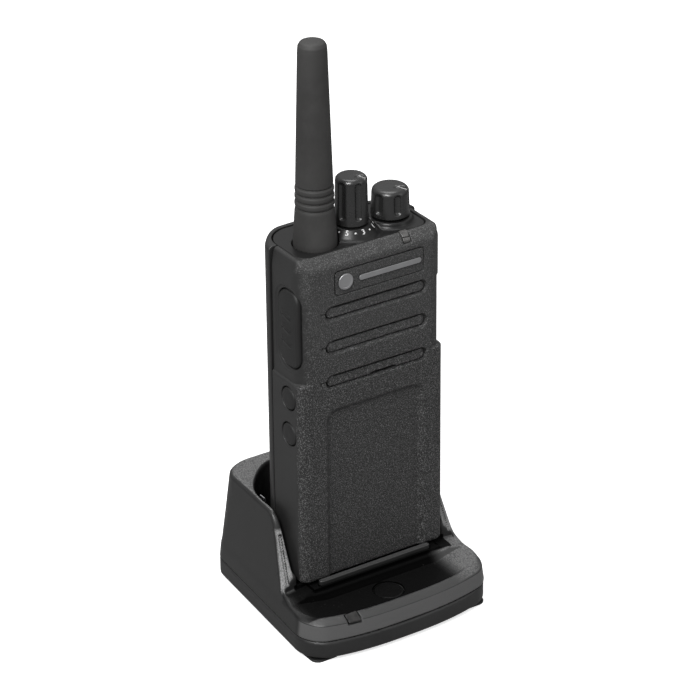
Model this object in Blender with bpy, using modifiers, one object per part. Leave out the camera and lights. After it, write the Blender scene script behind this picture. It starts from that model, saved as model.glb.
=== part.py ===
"""Compact two way radio standing in its drop-in charging tray.

Run with:  blender --background --python part.py

Units are metres, +Z is up and the front of the radio faces -Y. The origin is the
middle of the tray's footprint, on the surface the tray stands on. Most sizes
below are written in millimetres in the radio's own local frame (x = 0 on its
centre line, y = 0 on its front face, z = 0 on its bottom edge) and carried to the
shared frame by the two offsets Y_SHIFT and Z_SHIFT.
"""

import math

import bmesh
import bpy
from mathutils import Matrix, Vector

# ---------------------------------------------------------------- dimensions
MM = 0.001
Y_SHIFT = -14.75          # local y -> shared y
Z_SHIFT = 19.5            # local z -> shared z (height the tray holds the radio at)
GAP = 0.3                 # clearance between neighbouring pieces

# radio body
HALF_W_LOW = 27.9         # half width below the shoulder
HALF_W_UP = 27.3          # half width above the shoulder
SHOULDER_Z = 72.6
FRONT_R_LOW = 3.2         # front corner radius below / above the shoulder
FRONT_R_UP = 5.6
SPLIT_Y = 16.6            # plane between front and rear housings
BODY_BACK = 30.0
BODY_TOP = 116.2
TOP_EDGE_Z = 113.3
WALL = 2.0

# battery bay and battery
BAY_X, BAY_Z0, BAY_Z1, BAY_FLOOR = 23.8, 3.0, 93.0, 22.6
BAT_X, BAT_Z0, BAT_Z1 = 23.3, 3.5, 92.4
BAT_Y0 = 23.4
BAT_PIVOT_Y, BAT_PIVOT_Z = 25.0, 3.6

# controls on the top
ANT_X, ANT_Y, ANT_BASE_R, ANT_TOP = -13.5, 12.5, 7.55, 184.6
CH_X, CH_Y = 0.6, 13.0
CH_BASE_R, CH_TOP_R, CH_Z0, CH_Z1 = 5.15, 4.9, 119.4, 134.6
VOL_X, VOL_Y = 15.4, 13.0
VOL_BASE_R, VOL_TOP_R, VOL_Z0, VOL_Z1 = 6.0, 5.7, 118.3, 127.4
COLLAR_R, COLLAR_Z = 8.0, 118.9
VOL_BOSS_R, VOL_BOSS_Z = 7.2, 117.8
POINTER_DEG = -50.0

# side controls (left side of the radio)
PTT_Y, PTT_Z, PTT_HW, PTT_HH, PTT_TRAVEL = 7.9, 91.3, 5.6, 13.4, 1.0
BTN_Y, BTN_R, BTN_Z_UP, BTN_Z_LOW = 7.2, 3.9, 66.6, 53.6

# speaker louvres in the front face
SLOT_X0, SLOT_X1, SLOT_H = -18.0, 21.0, 5.0
SLOT_Z = (72.0, 84.3, 96.4)

# tray
TRAY_FRONT_HW, TRAY_BACK_HW = 36.4, 31.8
TRAY_Y0, TRAY_BOW, TRAY_Y1 = -15.6, 5.6, 50.7
COVER_Z0, COVER_Z1 = -18.3, -11.6
HOUSE_Z0, HOUSE_TOP = -11.3, 23.0
FLOOR_BACK_Z, FLOOR_FRONT_Z = -1.3, -4.9
POCKET_X, POCKET_BACK = 29.5, 43.0
PIN_X, PIN_Y, PIN_TOP = 6.0, 33.2, 1.9

# ---------------------------------------------------------------- scene set-up
for old in list(bpy.data.objects):
    bpy.data.objects.remove(old, do_unlink=True)

scene = bpy.context.scene
PARTS = bpy.data.collections.new("two_way_radio")
CUTTERS = bpy.data.collections.new("cutters")
scene.collection.children.link(PARTS)
scene.collection.children.link(CUTTERS)


def material(name, rgb, rough, metal=0.0):
    m = bpy.data.materials.new(name)
    m.use_nodes = True
    b = m.node_tree.nodes["Principled BSDF"]
    b.inputs["Base Color"].default_value = (*rgb, 1.0)
    b.inputs["Roughness"].default_value = rough
    b.inputs["Metallic"].default_value = metal
    m.diffuse_color = (*rgb, 1.0)
    return m


BLACK_TEXTURED = dict(rgb=(0.035, 0.035, 0.037), rough=0.62)
BLACK_SMOOTH = dict(rgb=(0.030, 0.030, 0.031), rough=0.45)
BLACK_SATIN = dict(rgb=(0.045, 0.045, 0.047), rough=0.38)
RUBBER_GREY = dict(rgb=(0.060, 0.060, 0.062), rough=0.78)
RUBBER_BLACK = dict(rgb=(0.022, 0.022, 0.022), rough=0.70)
SILVER = dict(rgb=(0.60, 0.60, 0.61), rough=0.35, metal=0.8)
STEEL = dict(rgb=(0.62, 0.62, 0.63), rough=0.30, metal=1.0)
NICKEL = dict(rgb=(0.72, 0.69, 0.60), rough=0.25, metal=1.0)
GOLD = dict(rgb=(0.83, 0.62, 0.26), rough=0.25, metal=1.0)
BOARD = dict(rgb=(0.03, 0.16, 0.08), rough=0.45)
LENS = dict(rgb=(0.10, 0.11, 0.11), rough=0.15)
FELT = dict(rgb=(0.05, 0.05, 0.05), rough=0.95)
CELL = dict(rgb=(0.25, 0.30, 0.42), rough=0.40)
SPEAKER_PAPER = dict(rgb=(0.09, 0.09, 0.09), rough=0.6)


# ---------------------------------------------------------------- helpers
def to_shared(x, y, z):
    """Local millimetres to the shared frame in metres."""
    return Vector((x * MM, (y + Y_SHIFT) * MM, (z + Z_SHIFT) * MM))


def finish_object(name, mesh, look=None, origin=None, cutter=False, smooth=35.0):
    """Link a mesh whose vertices are local millimetres. origin (local mm) becomes the object's origin."""
    origin = origin or (0.0, 0.0, 0.0)
    o = to_shared(*origin)
    for v in mesh.vertices:
        v.co = to_shared(*v.co) - o
    ob = bpy.data.objects.new(name, mesh)
    ob.location = o
    if cutter:
        CUTTERS.objects.link(ob)
        ob.hide_render = True
        ob.display_type = "WIRE"
    else:
        PARTS.objects.link(ob)
        mesh.materials.append(material(name, **look))
        for p in mesh.polygons:
            p.use_smooth = True
        mesh.set_sharp_from_angle(angle=math.radians(smooth))
    return ob


def mesh_from_bmesh(name, bm):
    bmesh.ops.recalc_face_normals(bm, faces=bm.faces)
    me = bpy.data.meshes.new(name)
    bm.to_mesh(me)
    bm.free()
    return me


def loft(name, rings, **kw):
    """Closed solid through rings of equal count, capped at both ends."""
    bm = bmesh.new()
    rows = [[bm.verts.new(p) for p in ring] for ring in rings]
    n = len(rows[0])
    for a, b in zip(rows, rows[1:]):
        for i in range(n):
            j = (i + 1) % n
            bm.faces.new((a[i], a[j], b[j], b[i]))
    bm.faces.new(rows[0])
    bm.faces.new(rows[-1])
    return finish_object(name, mesh_from_bmesh(name, bm), **kw)


def prism(name, outline, z0, z1, **kw):
    """Outline in XY extruded from z0 to z1: a filled 2D curve, made a mesh."""
    cu = bpy.data.curves.new(name, "CURVE")
    cu.dimensions = "2D"
    cu.fill_mode = "BOTH"
    cu.extrude = (z1 - z0) / 2
    sp = cu.splines.new("POLY")
    sp.points.add(len(outline) - 1)
    for p, (x, y) in zip(sp.points, outline):
        p.co = (x, y, 0.0, 1.0)
    sp.use_cyclic_u = True
    tmp = bpy.data.objects.new(name + "_curve", cu)
    scene.collection.objects.link(tmp)
    bpy.context.view_layer.update()
    dg = bpy.context.evaluated_depsgraph_get()
    me = bpy.data.meshes.new_from_object(tmp.evaluated_get(dg))
    bpy.data.objects.remove(tmp, do_unlink=True)
    bm = bmesh.new()
    bm.from_mesh(me)
    bpy.data.meshes.remove(me)
    bmesh.ops.remove_doubles(bm, verts=bm.verts, dist=0.001)
    bmesh.ops.translate(bm, vec=(0, 0, (z0 + z1) / 2), verts=bm.verts)
    return finish_object(name, mesh_from_bmesh(name, bm), **kw)


def turned(name, profile, centre, seg=32, **kw):
    """Solid of revolution about a vertical axis. profile runs from top to bottom as (radius, z)."""
    me = bpy.data.meshes.new(name)
    bm = bmesh.new()
    prev = None
    for r, z in profile:
        v = bm.verts.new((r * MM, 0.0, z * MM))
        if prev:
            bm.edges.new((prev, v))
        prev = v
    bm.to_mesh(me)
    bm.free()
    tmp = bpy.data.objects.new(name + "_profile", me)
    scene.collection.objects.link(tmp)
    sc = tmp.modifiers.new("Screw", "SCREW")
    sc.axis = "Z"
    sc.steps = sc.render_steps = seg
    sc.use_merge_vertices = True
    sc.merge_threshold = 0.00001
    bpy.context.view_layer.update()
    dg = bpy.context.evaluated_depsgraph_get()
    out = bpy.data.meshes.new_from_object(tmp.evaluated_get(dg))
    bpy.data.objects.remove(tmp, do_unlink=True)
    bm = bmesh.new()
    bm.from_mesh(out)
    bpy.data.meshes.remove(out)
    bmesh.ops.scale(bm, vec=(1 / MM,) * 3, verts=bm.verts)
    bmesh.ops.remove_doubles(bm, verts=bm.verts, dist=0.001)
    bmesh.ops.translate(bm, vec=(centre[0], centre[1], 0), verts=bm.verts)
    return finish_object(name, mesh_from_bmesh(name, bm), **kw)


def cylinder(name, centre, r, depth, axis="Z", seg=24, r2=None, **kw):
    """Cylinder or cone primitive; centre is its middle, axis X, Y or Z."""
    bm = bmesh.new()
    bmesh.ops.create_cone(bm, cap_ends=True, segments=seg, radius1=r, radius2=r if r2 is None else r2, depth=depth)
    rot = {"Z": Matrix.Identity(4), "Y": Matrix.Rotation(math.radians(-90), 4, "X"), "X": Matrix.Rotation(math.radians(90), 4, "Y")}[axis]
    bmesh.ops.transform(bm, matrix=Matrix.Translation(centre) @ rot, verts=bm.verts)
    return finish_object(name, mesh_from_bmesh(name, bm), **kw)


def box(name, x0, x1, y0, y1, z0, z1, bevel=0.0, seg=1, **kw):
    """Block primitive with its edges rounded."""
    bm = bmesh.new()
    bmesh.ops.create_cube(bm, size=1.0)
    bmesh.ops.scale(bm, vec=(x1 - x0, y1 - y0, z1 - z0), verts=bm.verts)
    bmesh.ops.translate(bm, vec=((x0 + x1) / 2, (y0 + y1) / 2, (z0 + z1) / 2), verts=bm.verts)
    if bevel:
        bmesh.ops.bevel(bm, geom=bm.edges[:], offset=bevel, segments=seg, profile=0.5, affect="EDGES")
    return finish_object(name, mesh_from_bmesh(name, bm), **kw)


def boolean(ob, other, operation="DIFFERENCE"):
    m = ob.modifiers.new(operation.title() + "_" + other.name, "BOOLEAN")
    m.operation = operation
    m.object = other
    m.solver = "MANIFOLD" if ob.name in NEAR_TANGENT else "EXACT"
    return m


# Pieces whose cuts and joins meet at shallow angles, where the exact solver leaves open edges
NEAR_TANGENT = {"top_escutcheon"}


def arc(cx, cy, r, a0, a1, n):
    return [(cx + r * math.cos(math.radians(a0 + (a1 - a0) * i / n)), cy + r * math.sin(math.radians(a0 + (a1 - a0) * i / n))) for i in range(n + 1)]


def rounded(x0, x1, y0, y1, r, n=4):
    """Rounded rectangle, counter-clockwise."""
    return (
        arc(x1 - r, y0 + r, r, -90, 0, n)
        + arc(x1 - r, y1 - r, r, 0, 90, n)
        + arc(x0 + r, y1 - r, r, 90, 180, n)
        + arc(x0 + r, y0 + r, r, 180, 270, n)
    )


def at_z(outline, z):
    return [(x, y, z) for x, y in outline]


def stadium_xz(x0, x1, z, h, y, n=6):
    """Long rounded slot in the XZ plane at depth y."""
    r = h / 2
    right = [(x1 - r + r * math.sin(math.radians(a)), y, z - r * math.cos(math.radians(a))) for a in [180 * i / n for i in range(n + 1)]]
    left = [(x0 + r - r * math.sin(math.radians(a)), y, z + r * math.cos(math.radians(a))) for a in [180 * i / n for i in range(n + 1)]]
    return right + left


def oval_yz(x, y, z, hw, hh, r, n=5):
    """Rounded rectangle in the YZ plane at x."""
    pts = rounded(y - hw, y + hw, z - hh, z + hh, r, n)
    return [(x, a, b) for a, b in pts]


def circle_yz(x, y, z, r, n=20):
    return [(x, y + r * math.cos(2 * math.pi * i / n), z + r * math.sin(2 * math.pi * i / n)) for i in range(n)]


# ---------------------------------------------------------------- radio housings
def front_ring(w, yf, yb, r, z, n=5):
    """Plan of the front half of the body: open D with its front corners rounded."""
    pts = [(-w, yb)] + arc(-w + r, yf + r, r, 180, 270, n) + arc(w - r, yf + r, r, 270, 360, n) + [(w, yb)]
    return at_z(pts, z)


def rear_ring(w, y0, yb, r, z, n=6):
    """Plan of the rear half: straight sides running into two wide back corners."""
    pts = [(w, y0)] + arc(w - r, yb - r, r, 0, 90, n) + arc(-w + r, yb - r, r, 90, 180, n) + [(-w, y0)]
    return at_z(pts, z)


def front_outer(name, grow=0.0, yb=SPLIT_Y - 0.15, **kw):
    g = grow
    lo, up = HALF_W_LOW + g, HALF_W_UP + g
    return loft(
        name,
        [
            front_ring(lo - 1.0, 0.8 - g, yb, FRONT_R_LOW, 0.0 - g),
            front_ring(lo - 0.3, 0.25 - g, yb, FRONT_R_LOW, 0.35 - g),
            front_ring(lo, 0.0 - g, yb, FRONT_R_LOW, 1.2),
            front_ring(lo, 0.0 - g, yb, FRONT_R_LOW, SHOULDER_Z),
            front_ring(up, 0.0 - g, yb, FRONT_R_UP, SHOULDER_Z + 1.0),
            front_ring(up, 0.0 - g, yb, FRONT_R_UP, 112.4),
            front_ring(up - 0.2, 0.5 - g, yb, FRONT_R_UP, TOP_EDGE_Z),
            front_ring(up - 1.0, 2.4 - g, yb, FRONT_R_UP, BODY_TOP - 0.6),
            front_ring(up - 1.9, 3.2 - g, yb, FRONT_R_UP, BODY_TOP + g),
        ],
        **kw,
    )


front_housing = front_outer("front_housing", look=BLACK_TEXTURED)
front_cavity = loft(
    "cut_front_cavity",
    [
        front_ring(HALF_W_LOW - 2.3, 2.3, 25.0, 2.5, 2.3),
        front_ring(HALF_W_LOW - 2.3, 2.3, 25.0, 2.5, SHOULDER_Z - 1.5),
        front_ring(HALF_W_UP - 2.0, 2.3, 25.0, 4.0, SHOULDER_Z),
        front_ring(HALF_W_UP - 2.0, 2.3, 25.0, 4.0, 112.0),
    ],
    cutter=True,
)
boolean(front_housing, front_cavity)
def top_outline(x, y0, y1, r_front, r_back, n=4):
    """Outline of the top plate and of its opening: tight front corners, wide back corners."""
    right = arc(x - r_front, y0 + r_front, r_front, -90, 0, n) + arc(x - r_back, y1 - r_back, r_back, 0, 90, n + 1)
    return right + [(-a, b) for a, b in reversed(right)]


TOP_OPEN = top_outline(24.6, 4.3, 27.4, 4.2, 9.5)
top_opening = prism("cut_top_opening", TOP_OPEN, 110.5, 120.0, cutter=True)
boolean(front_housing, top_opening)

# Antenna, speaker louvres and the controls' windows in the front housing
for i, z in enumerate(SLOT_Z):
    slot = loft(
        f"cut_louvre_{i}",
        [stadium_xz(SLOT_X0, SLOT_X1, z, SLOT_H, -1.0), stadium_xz(SLOT_X0, SLOT_X1, z, SLOT_H, 0.8)],
        cutter=True,
    )
    boolean(front_housing, slot)
    # a narrow sound gap behind the upper edge of each louvre's bar
    sound = box(f"cut_sound_gap_{i}", SLOT_X0 + 3, SLOT_X1 - 3, 0.5, 4.0, z + 1.1, z + 2.1, cutter=True)
    boolean(front_housing, sound)
panel = loft(
    "cut_front_panel",
    [
        [(x, -1.0, z) for x, z in rounded(-18.0, 19.8, -9.0, 62.0, 4.0, 4)],
        [(x, 0.0, z) for x, z in rounded(-18.0, 19.8, -9.0, 62.0, 4.0, 4)],
        [(x, 0.8, z) for x, z in rounded(-16.8, 18.6, -7.8, 60.8, 3.2, 4)],
    ],
    cutter=True,
)
boolean(front_housing, panel)
badge_recess = box("cut_badge_recess", -14.3, 19.6, -1.0, 0.6, 102.0, 110.6, cutter=True)
boolean(front_housing, badge_recess)
mic_slot = box("cut_mic_slot", 0.0, 9.0, 0.4, 4.0, 69.7, 70.5, cutter=True)
boolean(front_housing, mic_slot)
led_notch = box("cut_led_notch", 12.2, 15.4, -1.0, 6.0, 112.9, 119.0, cutter=True)
boolean(front_housing, led_notch)

WINDOW = 0.3
ptt_window = loft(
    "cut_ptt_window",
    [oval_yz(-31.0, PTT_Y, PTT_Z, PTT_HW + WINDOW, PTT_HH + WINDOW, 4.8), oval_yz(-22.0, PTT_Y, PTT_Z, PTT_HW + WINDOW, PTT_HH + WINDOW, 4.8)],
    cutter=True,
)
boolean(front_housing, ptt_window)
for tag, z in (("upper", BTN_Z_UP), ("lower", BTN_Z_LOW)):
    hole = loft(
        f"cut_{tag}_button_window",
        [circle_yz(-31.0, BTN_Y, z, BTN_R + WINDOW), circle_yz(-22.0, BTN_Y, z, BTN_R + WINDOW)],
        cutter=True,
    )
    boolean(front_housing, hole)
jack_window = box("cut_jack_window", 24.0, 26.6, 4.6, 11.4, 98.2, 110.2, cutter=True)
boolean(front_housing, jack_window)
jack_recess = box("cut_jack_recess", 26.2, 30.0, 3.2, 12.8, 95.9, 113.0, cutter=True)
boolean(front_housing, jack_recess)

# Gasket between the housings: a flat silicone ring just inside the seam
gasket = loft(
    "housing_gasket",
    [
        [(x, SPLIT_Y - 0.0, z) for x, z in rounded(-26.4, 26.4, 1.2, 110.0, 3.0, 4)],
        [(x, SPLIT_Y + 0.4, z) for x, z in rounded(-26.4, 26.4, 1.2, 110.0, 3.0, 4)],
    ],
    look=RUBBER_BLACK,
)
gasket_hole = loft(
    "cut_gasket",
    [
        [(x, SPLIT_Y - 2.0, z) for x, z in rounded(-25.2, 25.2, 2.4, 108.8, 2.4, 4)],
        [(x, SPLIT_Y + 2.0, z) for x, z in rounded(-25.2, 25.2, 2.4, 108.8, 2.4, 4)],
    ],
    cutter=True,
)
boolean(gasket, gasket_hole)

REAR_Y0 = SPLIT_Y + 0.6
# Right half of the rear casing's plan: the flanks turn in right behind the seam and run
# at a slant to the back, as (half width, depth)
REAR_FLANK = [(28.0, 17.9), (27.6, 19.8), (26.5, 21.9), (24.8, 24.1), (22.9, 26.3), (20.9, 28.1), (18.6, 29.4), (16.0, BODY_BACK)]


def rear_plan(inset, back_inset, z):
    """Plan of the rear casing drawn in by inset at the sides and by back_inset at the back."""
    right = [(28.0 - inset, REAR_Y0)] + [(x - inset, y - back_inset * (y - REAR_Y0) / (BODY_BACK - REAR_Y0)) for x, y in REAR_FLANK]
    return at_z(right + [(-x, y) for x, y in reversed(right)], z)


rear_housing = loft(
    "rear_housing",
    [
        rear_plan(2.3, 2.0, 0.0),
        rear_plan(0.8, 0.6, 0.7),
        rear_plan(0.0, 0.0, 2.6),
        rear_plan(0.0, 0.0, 111.0),
        rear_plan(0.4, 0.3, 113.6),
        rear_plan(1.5, 0.9, 115.4),
        rear_plan(2.6, 1.6, BODY_TOP),
    ],
    look=BLACK_SMOOTH,
)
rear_cavity = loft(
    "cut_rear_cavity",
    [rear_ring(25.4, 10.0, 20.8, 2.0, 2.3), rear_ring(25.4, 10.0, 20.8, 2.0, 112.0)],
    cutter=True,
)
boolean(rear_housing, rear_cavity)
rear_upper_cavity = loft(
    "cut_rear_upper_cavity",
    [rear_ring(24.6, 10.0, 27.2, 9.5, 103.5), rear_ring(24.6, 10.0, 27.2, 9.5, 112.0)],
    cutter=True,
)
boolean(rear_housing, rear_upper_cavity)
boolean(rear_housing, top_opening)
bay = box("cut_battery_bay", -BAY_X, BAY_X, BAY_FLOOR, 45.0, BAY_Z0, BAY_Z1, cutter=True)
boolean(rear_housing, bay)
bay_foot = box("cut_bay_foot", -BAT_X + 2, BAT_X - 2, 24.2, 45.0, -5.0, BAY_Z0 + 1.0, cutter=True)
boolean(rear_housing, bay_foot)
latch_recess = box("cut_latch_recess", -8.3, 8.3, 27.4, 40.0, 92.0, 101.6, cutter=True)
boolean(rear_housing, latch_recess)
terminal_window = box("cut_terminal_window", -7.5, 7.5, 15.0, 25.0, 9.0, 14.5, cutter=True)
boolean(rear_housing, terminal_window)
SCREW_AT = {"upper_left": (-13.2, 97.5), "upper_right": (13.2, 97.5), "lower_left": (-20.5, 8.0), "lower_right": (20.5, 8.0)}
for tag, (x, z) in SCREW_AT.items():
    y_face = BODY_BACK if z > BAY_Z1 else BAY_FLOOR
    hole = turned(
        f"cut_chassis_screw_{tag}",
        [(0.0, 12.0), (2.4, 12.0), (2.4, -1.0), (1.3, -1.0), (1.3, -20.0), (0.0, -20.0)],
        (0, 0),
        12,
        cutter=True,
    )
    hole.rotation_euler = (math.radians(-90), 0, 0)
    hole.location = to_shared(x, y_face, z)
    boolean(rear_housing, hole)

for tag, (x, z) in SCREW_AT.items():
    y_face = BODY_BACK if z > BAY_Z1 else BAY_FLOOR
    screw = turned(
        f"chassis_screw_{tag}",
        [(0.0, -0.35), (0.8, -0.35), (0.8, -0.05), (1.7, -0.05), (2.05, -0.3), (2.05, -0.7), (1.0, -0.7), (1.0, -5.0 if z > BAY_Z1 else -4.6), (0.0, -5.4 if z > BAY_Z1 else -5.0)],
        (0, 0),
        10,
        look=STEEL,
    )
    screw.rotation_euler = (math.radians(-90), 0, 0)
    screw.location = to_shared(x, y_face, z)

# ---------------------------------------------------------------- top of the radio
top_escutcheon = prism("top_escutcheon", top_outline(24.3, 4.6, 27.1, 3.9, 9.2), 113.2, 115.9, look=BLACK_SATIN)
collar = turned(
    "channel_collar_join",
    [(0.0, COLLAR_Z), (6.2, COLLAR_Z), (COLLAR_R, COLLAR_Z - 1.5), (COLLAR_R + 0.4, 114.0), (0.0, 114.0)],
    (CH_X, CH_Y),
    32,
    cutter=True,
)
boolean(top_escutcheon, collar, "UNION")
vol_boss = turned(
    "volume_boss_join",
    [(0.0, VOL_BOSS_Z), (VOL_BOSS_R - 0.6, VOL_BOSS_Z), (VOL_BOSS_R, VOL_BOSS_Z - 0.6), (VOL_BOSS_R + 0.5, 114.0), (0.0, 114.0)],
    (VOL_X, VOL_Y),
    32,
    cutter=True,
)
boolean(top_escutcheon, vol_boss, "UNION")
antenna_seat = cylinder("cut_antenna_seat", (ANT_X, ANT_Y, 119.0), ANT_BASE_R + 0.35, 9.6, "Z", 40, cutter=True)
boolean(top_escutcheon, antenna_seat)
antenna_hole = cylinder("cut_antenna_hole", (ANT_X, ANT_Y, 114.0), 3.6, 8.0, "Z", 24, cutter=True)
boolean(top_escutcheon, antenna_hole)
boolean(top_escutcheon, cylinder("cut_channel_bushing", (CH_X, CH_Y, 115.0), 3.9, 14.0, "Z", 24, cutter=True))
boolean(top_escutcheon, cylinder("cut_volume_bushing", (VOL_X, VOL_Y, 115.0), 3.9, 14.0, "Z", 24, cutter=True))

radio_indicator_lens = loft(
    "radio_indicator_lens",
    [
        [(12.5, 0.9, 113.2), (15.1, 0.9, 113.2), (15.1, 4.0, 113.2), (12.5, 4.0, 113.2)],
        [(12.5, 0.9, 114.2), (15.1, 0.9, 114.2), (15.1, 4.0, 114.2), (12.5, 4.0, 114.2)],
        [(12.5, 2.9, 116.3), (15.1, 2.9, 116.3), (15.1, 4.0, 116.3), (12.5, 4.0, 116.3)],
    ],
    look=LENS,
)

# Antenna: rubber sheath, helical radiator wound round a core rod, threaded ferrule
ANT_PROFILE = [
    (0.0, ANT_TOP), (1.9, ANT_TOP - 0.15), (3.3, ANT_TOP - 0.8), (4.3, ANT_TOP - 2.0), (4.72, ANT_TOP - 3.6),
    (6.0, 136.2), (5.55, 135.6), (5.5, 134.9), (6.15, 134.3), (6.2, 133.2), (5.6, 132.6), (5.6, 131.9), (6.25, 131.3),
    (6.3, 130.2), (5.7, 129.5), (5.7, 128.8), (6.3, 128.2), (6.45, 126.5), (ANT_BASE_R, 117.0), (7.4, 115.8), (6.7, 114.9),
    (5.6, 114.5), (3.1, 114.5), (3.1, 176.0), (0.0, 178.5),
]
antenna_sheath = turned("antenna_sheath", ANT_PROFILE, (ANT_X, ANT_Y), 22, look=RUBBER_GREY)
antenna_ferrule = turned(
    "antenna_ferrule",
    [(0.0, 121.0), (2.2, 121.0), (2.6, 120.4), (2.6, 113.8), (3.2, 113.4), (3.2, 109.2), (2.4, 108.6), (0.0, 108.6)],
    (ANT_X, ANT_Y),
    16,
    look=NICKEL,
)
antenna_core = turned(
    "antenna_core",
    [(0.0, 175.5), (0.9, 175.2), (0.9, 121.6), (0.0, 121.4)],
    (ANT_X, ANT_Y),
    12,
    look=dict(rgb=(0.8, 0.8, 0.76), rough=0.5),
)
coil_curve = bpy.data.curves.new("antenna_coil", "CURVE")
coil_curve.dimensions = "3D"
coil_curve.bevel_depth = 0.35
coil_curve.bevel_resolution = 0
coil_curve.use_fill_caps = True
coil_spline = coil_curve.splines.new("POLY")
COIL_TURNS, COIL_STEPS, COIL_R = 8, 8, 1.9
coil_spline.points.add(COIL_TURNS * COIL_STEPS)
for i in range(COIL_TURNS * COIL_STEPS + 1):
    a = 2 * math.pi * i / COIL_STEPS
    coil_spline.points[i].co = (ANT_X + COIL_R * math.cos(a), ANT_Y + COIL_R * math.sin(a), 123.0 + 50.0 * i / (COIL_TURNS * COIL_STEPS), 1.0)
coil_tmp = bpy.data.objects.new("antenna_coil_curve", coil_curve)
scene.collection.objects.link(coil_tmp)
bpy.context.view_layer.update()
coil_mesh = bpy.data.meshes.new_from_object(coil_tmp.evaluated_get(bpy.context.evaluated_depsgraph_get()))
bpy.data.objects.remove(coil_tmp, do_unlink=True)
bm = bmesh.new()
bm.from_mesh(coil_mesh)
bmesh.ops.remove_doubles(bm, verts=bm.verts, dist=0.001)
antenna_coil = finish_object("antenna_coil", mesh_from_bmesh("antenna_coil", bm), look=dict(rgb=(0.72, 0.38, 0.20), rough=0.3, metal=1.0))


def knob(name, cx, cy, z0, z1, r0, r1, skirt, flutes, flute_r, phase, seg):
    """Turned knob with a plain skirt, vertical flutes, a pointer notch and a blind shaft bore."""
    ob = turned(
        name,
        [(0.0, z1), (r1 - 1.1, z1 - 0.05), (r1 - 0.3, z1 - 0.55), (r1, z1 - 1.5), (r0 - 0.08, z0 + skirt), (r0, z0), (0.0, z0)],
        (cx, cy),
        seg,
        look=BLACK_SATIN,
        origin=(cx, cy, z0),
    )
    for i in range(flutes):
        a = math.radians(phase + 360.0 * i / flutes)
        rr = (r0 + r1) / 2 + flute_r * 0.55
        cut = cylinder(f"cut_{name}_flute_{i}", (cx + rr * math.cos(a), cy + rr * math.sin(a), (z0 + skirt + z1 + 3) / 2), flute_r, z1 + 3 - z0 - skirt, "Z", 10, cutter=True)
        boolean(ob, cut)
    a = math.radians(POINTER_DEG)
    notch = box(f"cut_{name}_pointer", 1.6, r0 + 2.0, -0.9, 0.9, z1 - 1.3, z1 + 2.0, cutter=True)
    rot = Matrix.Rotation(a, 4, "Z")
    for v in notch.data.vertices:
        swung = rot @ Vector((v.co.x, v.co.y, 0.0))
        v.co = Vector((swung.x + cx * MM, swung.y + cy * MM, v.co.z))
    boolean(ob, notch)
    bore = cylinder(f"cut_{name}_bore", (cx, cy, z0 + (z1 - 3.0 - z0) / 2 - 1.0), 3.2, z1 - 3.0 - z0 + 2.0, "Z", 16, cutter=True)
    boolean(ob, bore)
    return ob


channel_knob = knob("channel_knob", CH_X, CH_Y, CH_Z0, CH_Z1, CH_BASE_R, CH_TOP_R, 2.4, 6, 1.45, -97.0, 42)
volume_knob = knob("volume_knob", VOL_X, VOL_Y, VOL_Z0, VOL_Z1, VOL_BASE_R, VOL_TOP_R, 1.6, 6, 1.6, -100.0, 48)
for name, x, y, top in (("channel_shaft", CH_X, CH_Y, CH_Z1 - 3.6), ("volume_shaft", VOL_X, VOL_Y, VOL_Z1 - 3.6)):
    turned(name, [(0.0, top), (2.6, top - 0.05), (2.9, top - 0.6), (2.9, 108.2), (2.0, 107.6), (0.0, 107.6)], (x, y), 20, look=NICKEL, origin=(x, y, 107.6))
for name, x, y in (("channel_switch", CH_X, CH_Y), ("volume_switch", VOL_X, VOL_Y)):
    body = box(name, x - 5.4, x + 5.4, y - 5.5, y + 3.3, 102.5, 110.6, 0.4, look=STEEL)
    bush = cylinder(name + "_bushing_join", (x, y, 112.6), 3.55, 5.0, "Z", 20, cutter=True)
    boolean(body, bush, "UNION")
    boolean(body, cylinder("cut_" + name, (x, y, 114.3), 3.15, 14.0, "Z", 20, cutter=True))

# ---------------------------------------------------------------- badge, speaker and boards
name_plate = box("name_plate", -14.0, 19.3, 0.0, 0.35, 102.3, 110.3, look=BLACK_SMOOTH)
badge_disc = cylinder("badge_disc", (-10.5, -0.5, 106.6), 2.75, 0.4, "Y", 28, look=SILVER)
badge_bar = box("badge_bar", -5.4, 18.2, -0.65, -0.3, 105.6, 107.4, 0.12, look=SILVER)

speaker = turned(
    "speaker",
    [(0.0, 0.0), (11.5, 0.0), (12.0, 1.4), (15.5, 0.4), (17.5, 0.4), (17.5, 2.2), (11.0, 3.4), (9.5, 5.6), (0.0, 5.6)][::-1],
    (0, 0),
    24,
    look=SPEAKER_PAPER,
)
speaker.rotation_euler = (math.radians(-90), 0, 0)
speaker.location = to_shared(1.0, 4.0, 84.4)
bm = bmesh.new()
bm.from_mesh(speaker.data)
bmesh.ops.recalc_face_normals(bm, faces=bm.faces)
bm.to_mesh(speaker.data)
bm.free()
speaker_cloth = cylinder("speaker_cloth", (1.0, 2.95, 84.4), 17.3, 0.5, "Y", 32, look=FELT)
microphone = cylinder("microphone", (4.5, 4.2, 62.6), 2.4, 2.6, "Y", 20, look=STEEL)
main_circuit_board = box("main_circuit_board", -20.5, 24.0, 11.9, 13.1, 5.0, 100.0, look=BOARD)
rf_shield_can = box("rf_shield_can", -15.0, 14.0, 13.5, 16.2, 18.0, 50.0, 0.4, look=STEEL)
side_switch_board = box("side_switch_board", -22.6, -21.9, 2.9, 11.5, 48.0, 106.0, look=BOARD)
for name, y, z, r in (("ptt_dome", PTT_Y, PTT_Z, 2.6), ("upper_dome", BTN_Y, BTN_Z_UP, 2.0), ("lower_dome", BTN_Y, BTN_Z_LOW, 2.0)):
    dome = cylinder(name + "_join", (-22.95, y, z), r * 0.6, 0.9, "X", 16, r2=r, cutter=True)
    boolean(side_switch_board, dome, "UNION")
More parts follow.
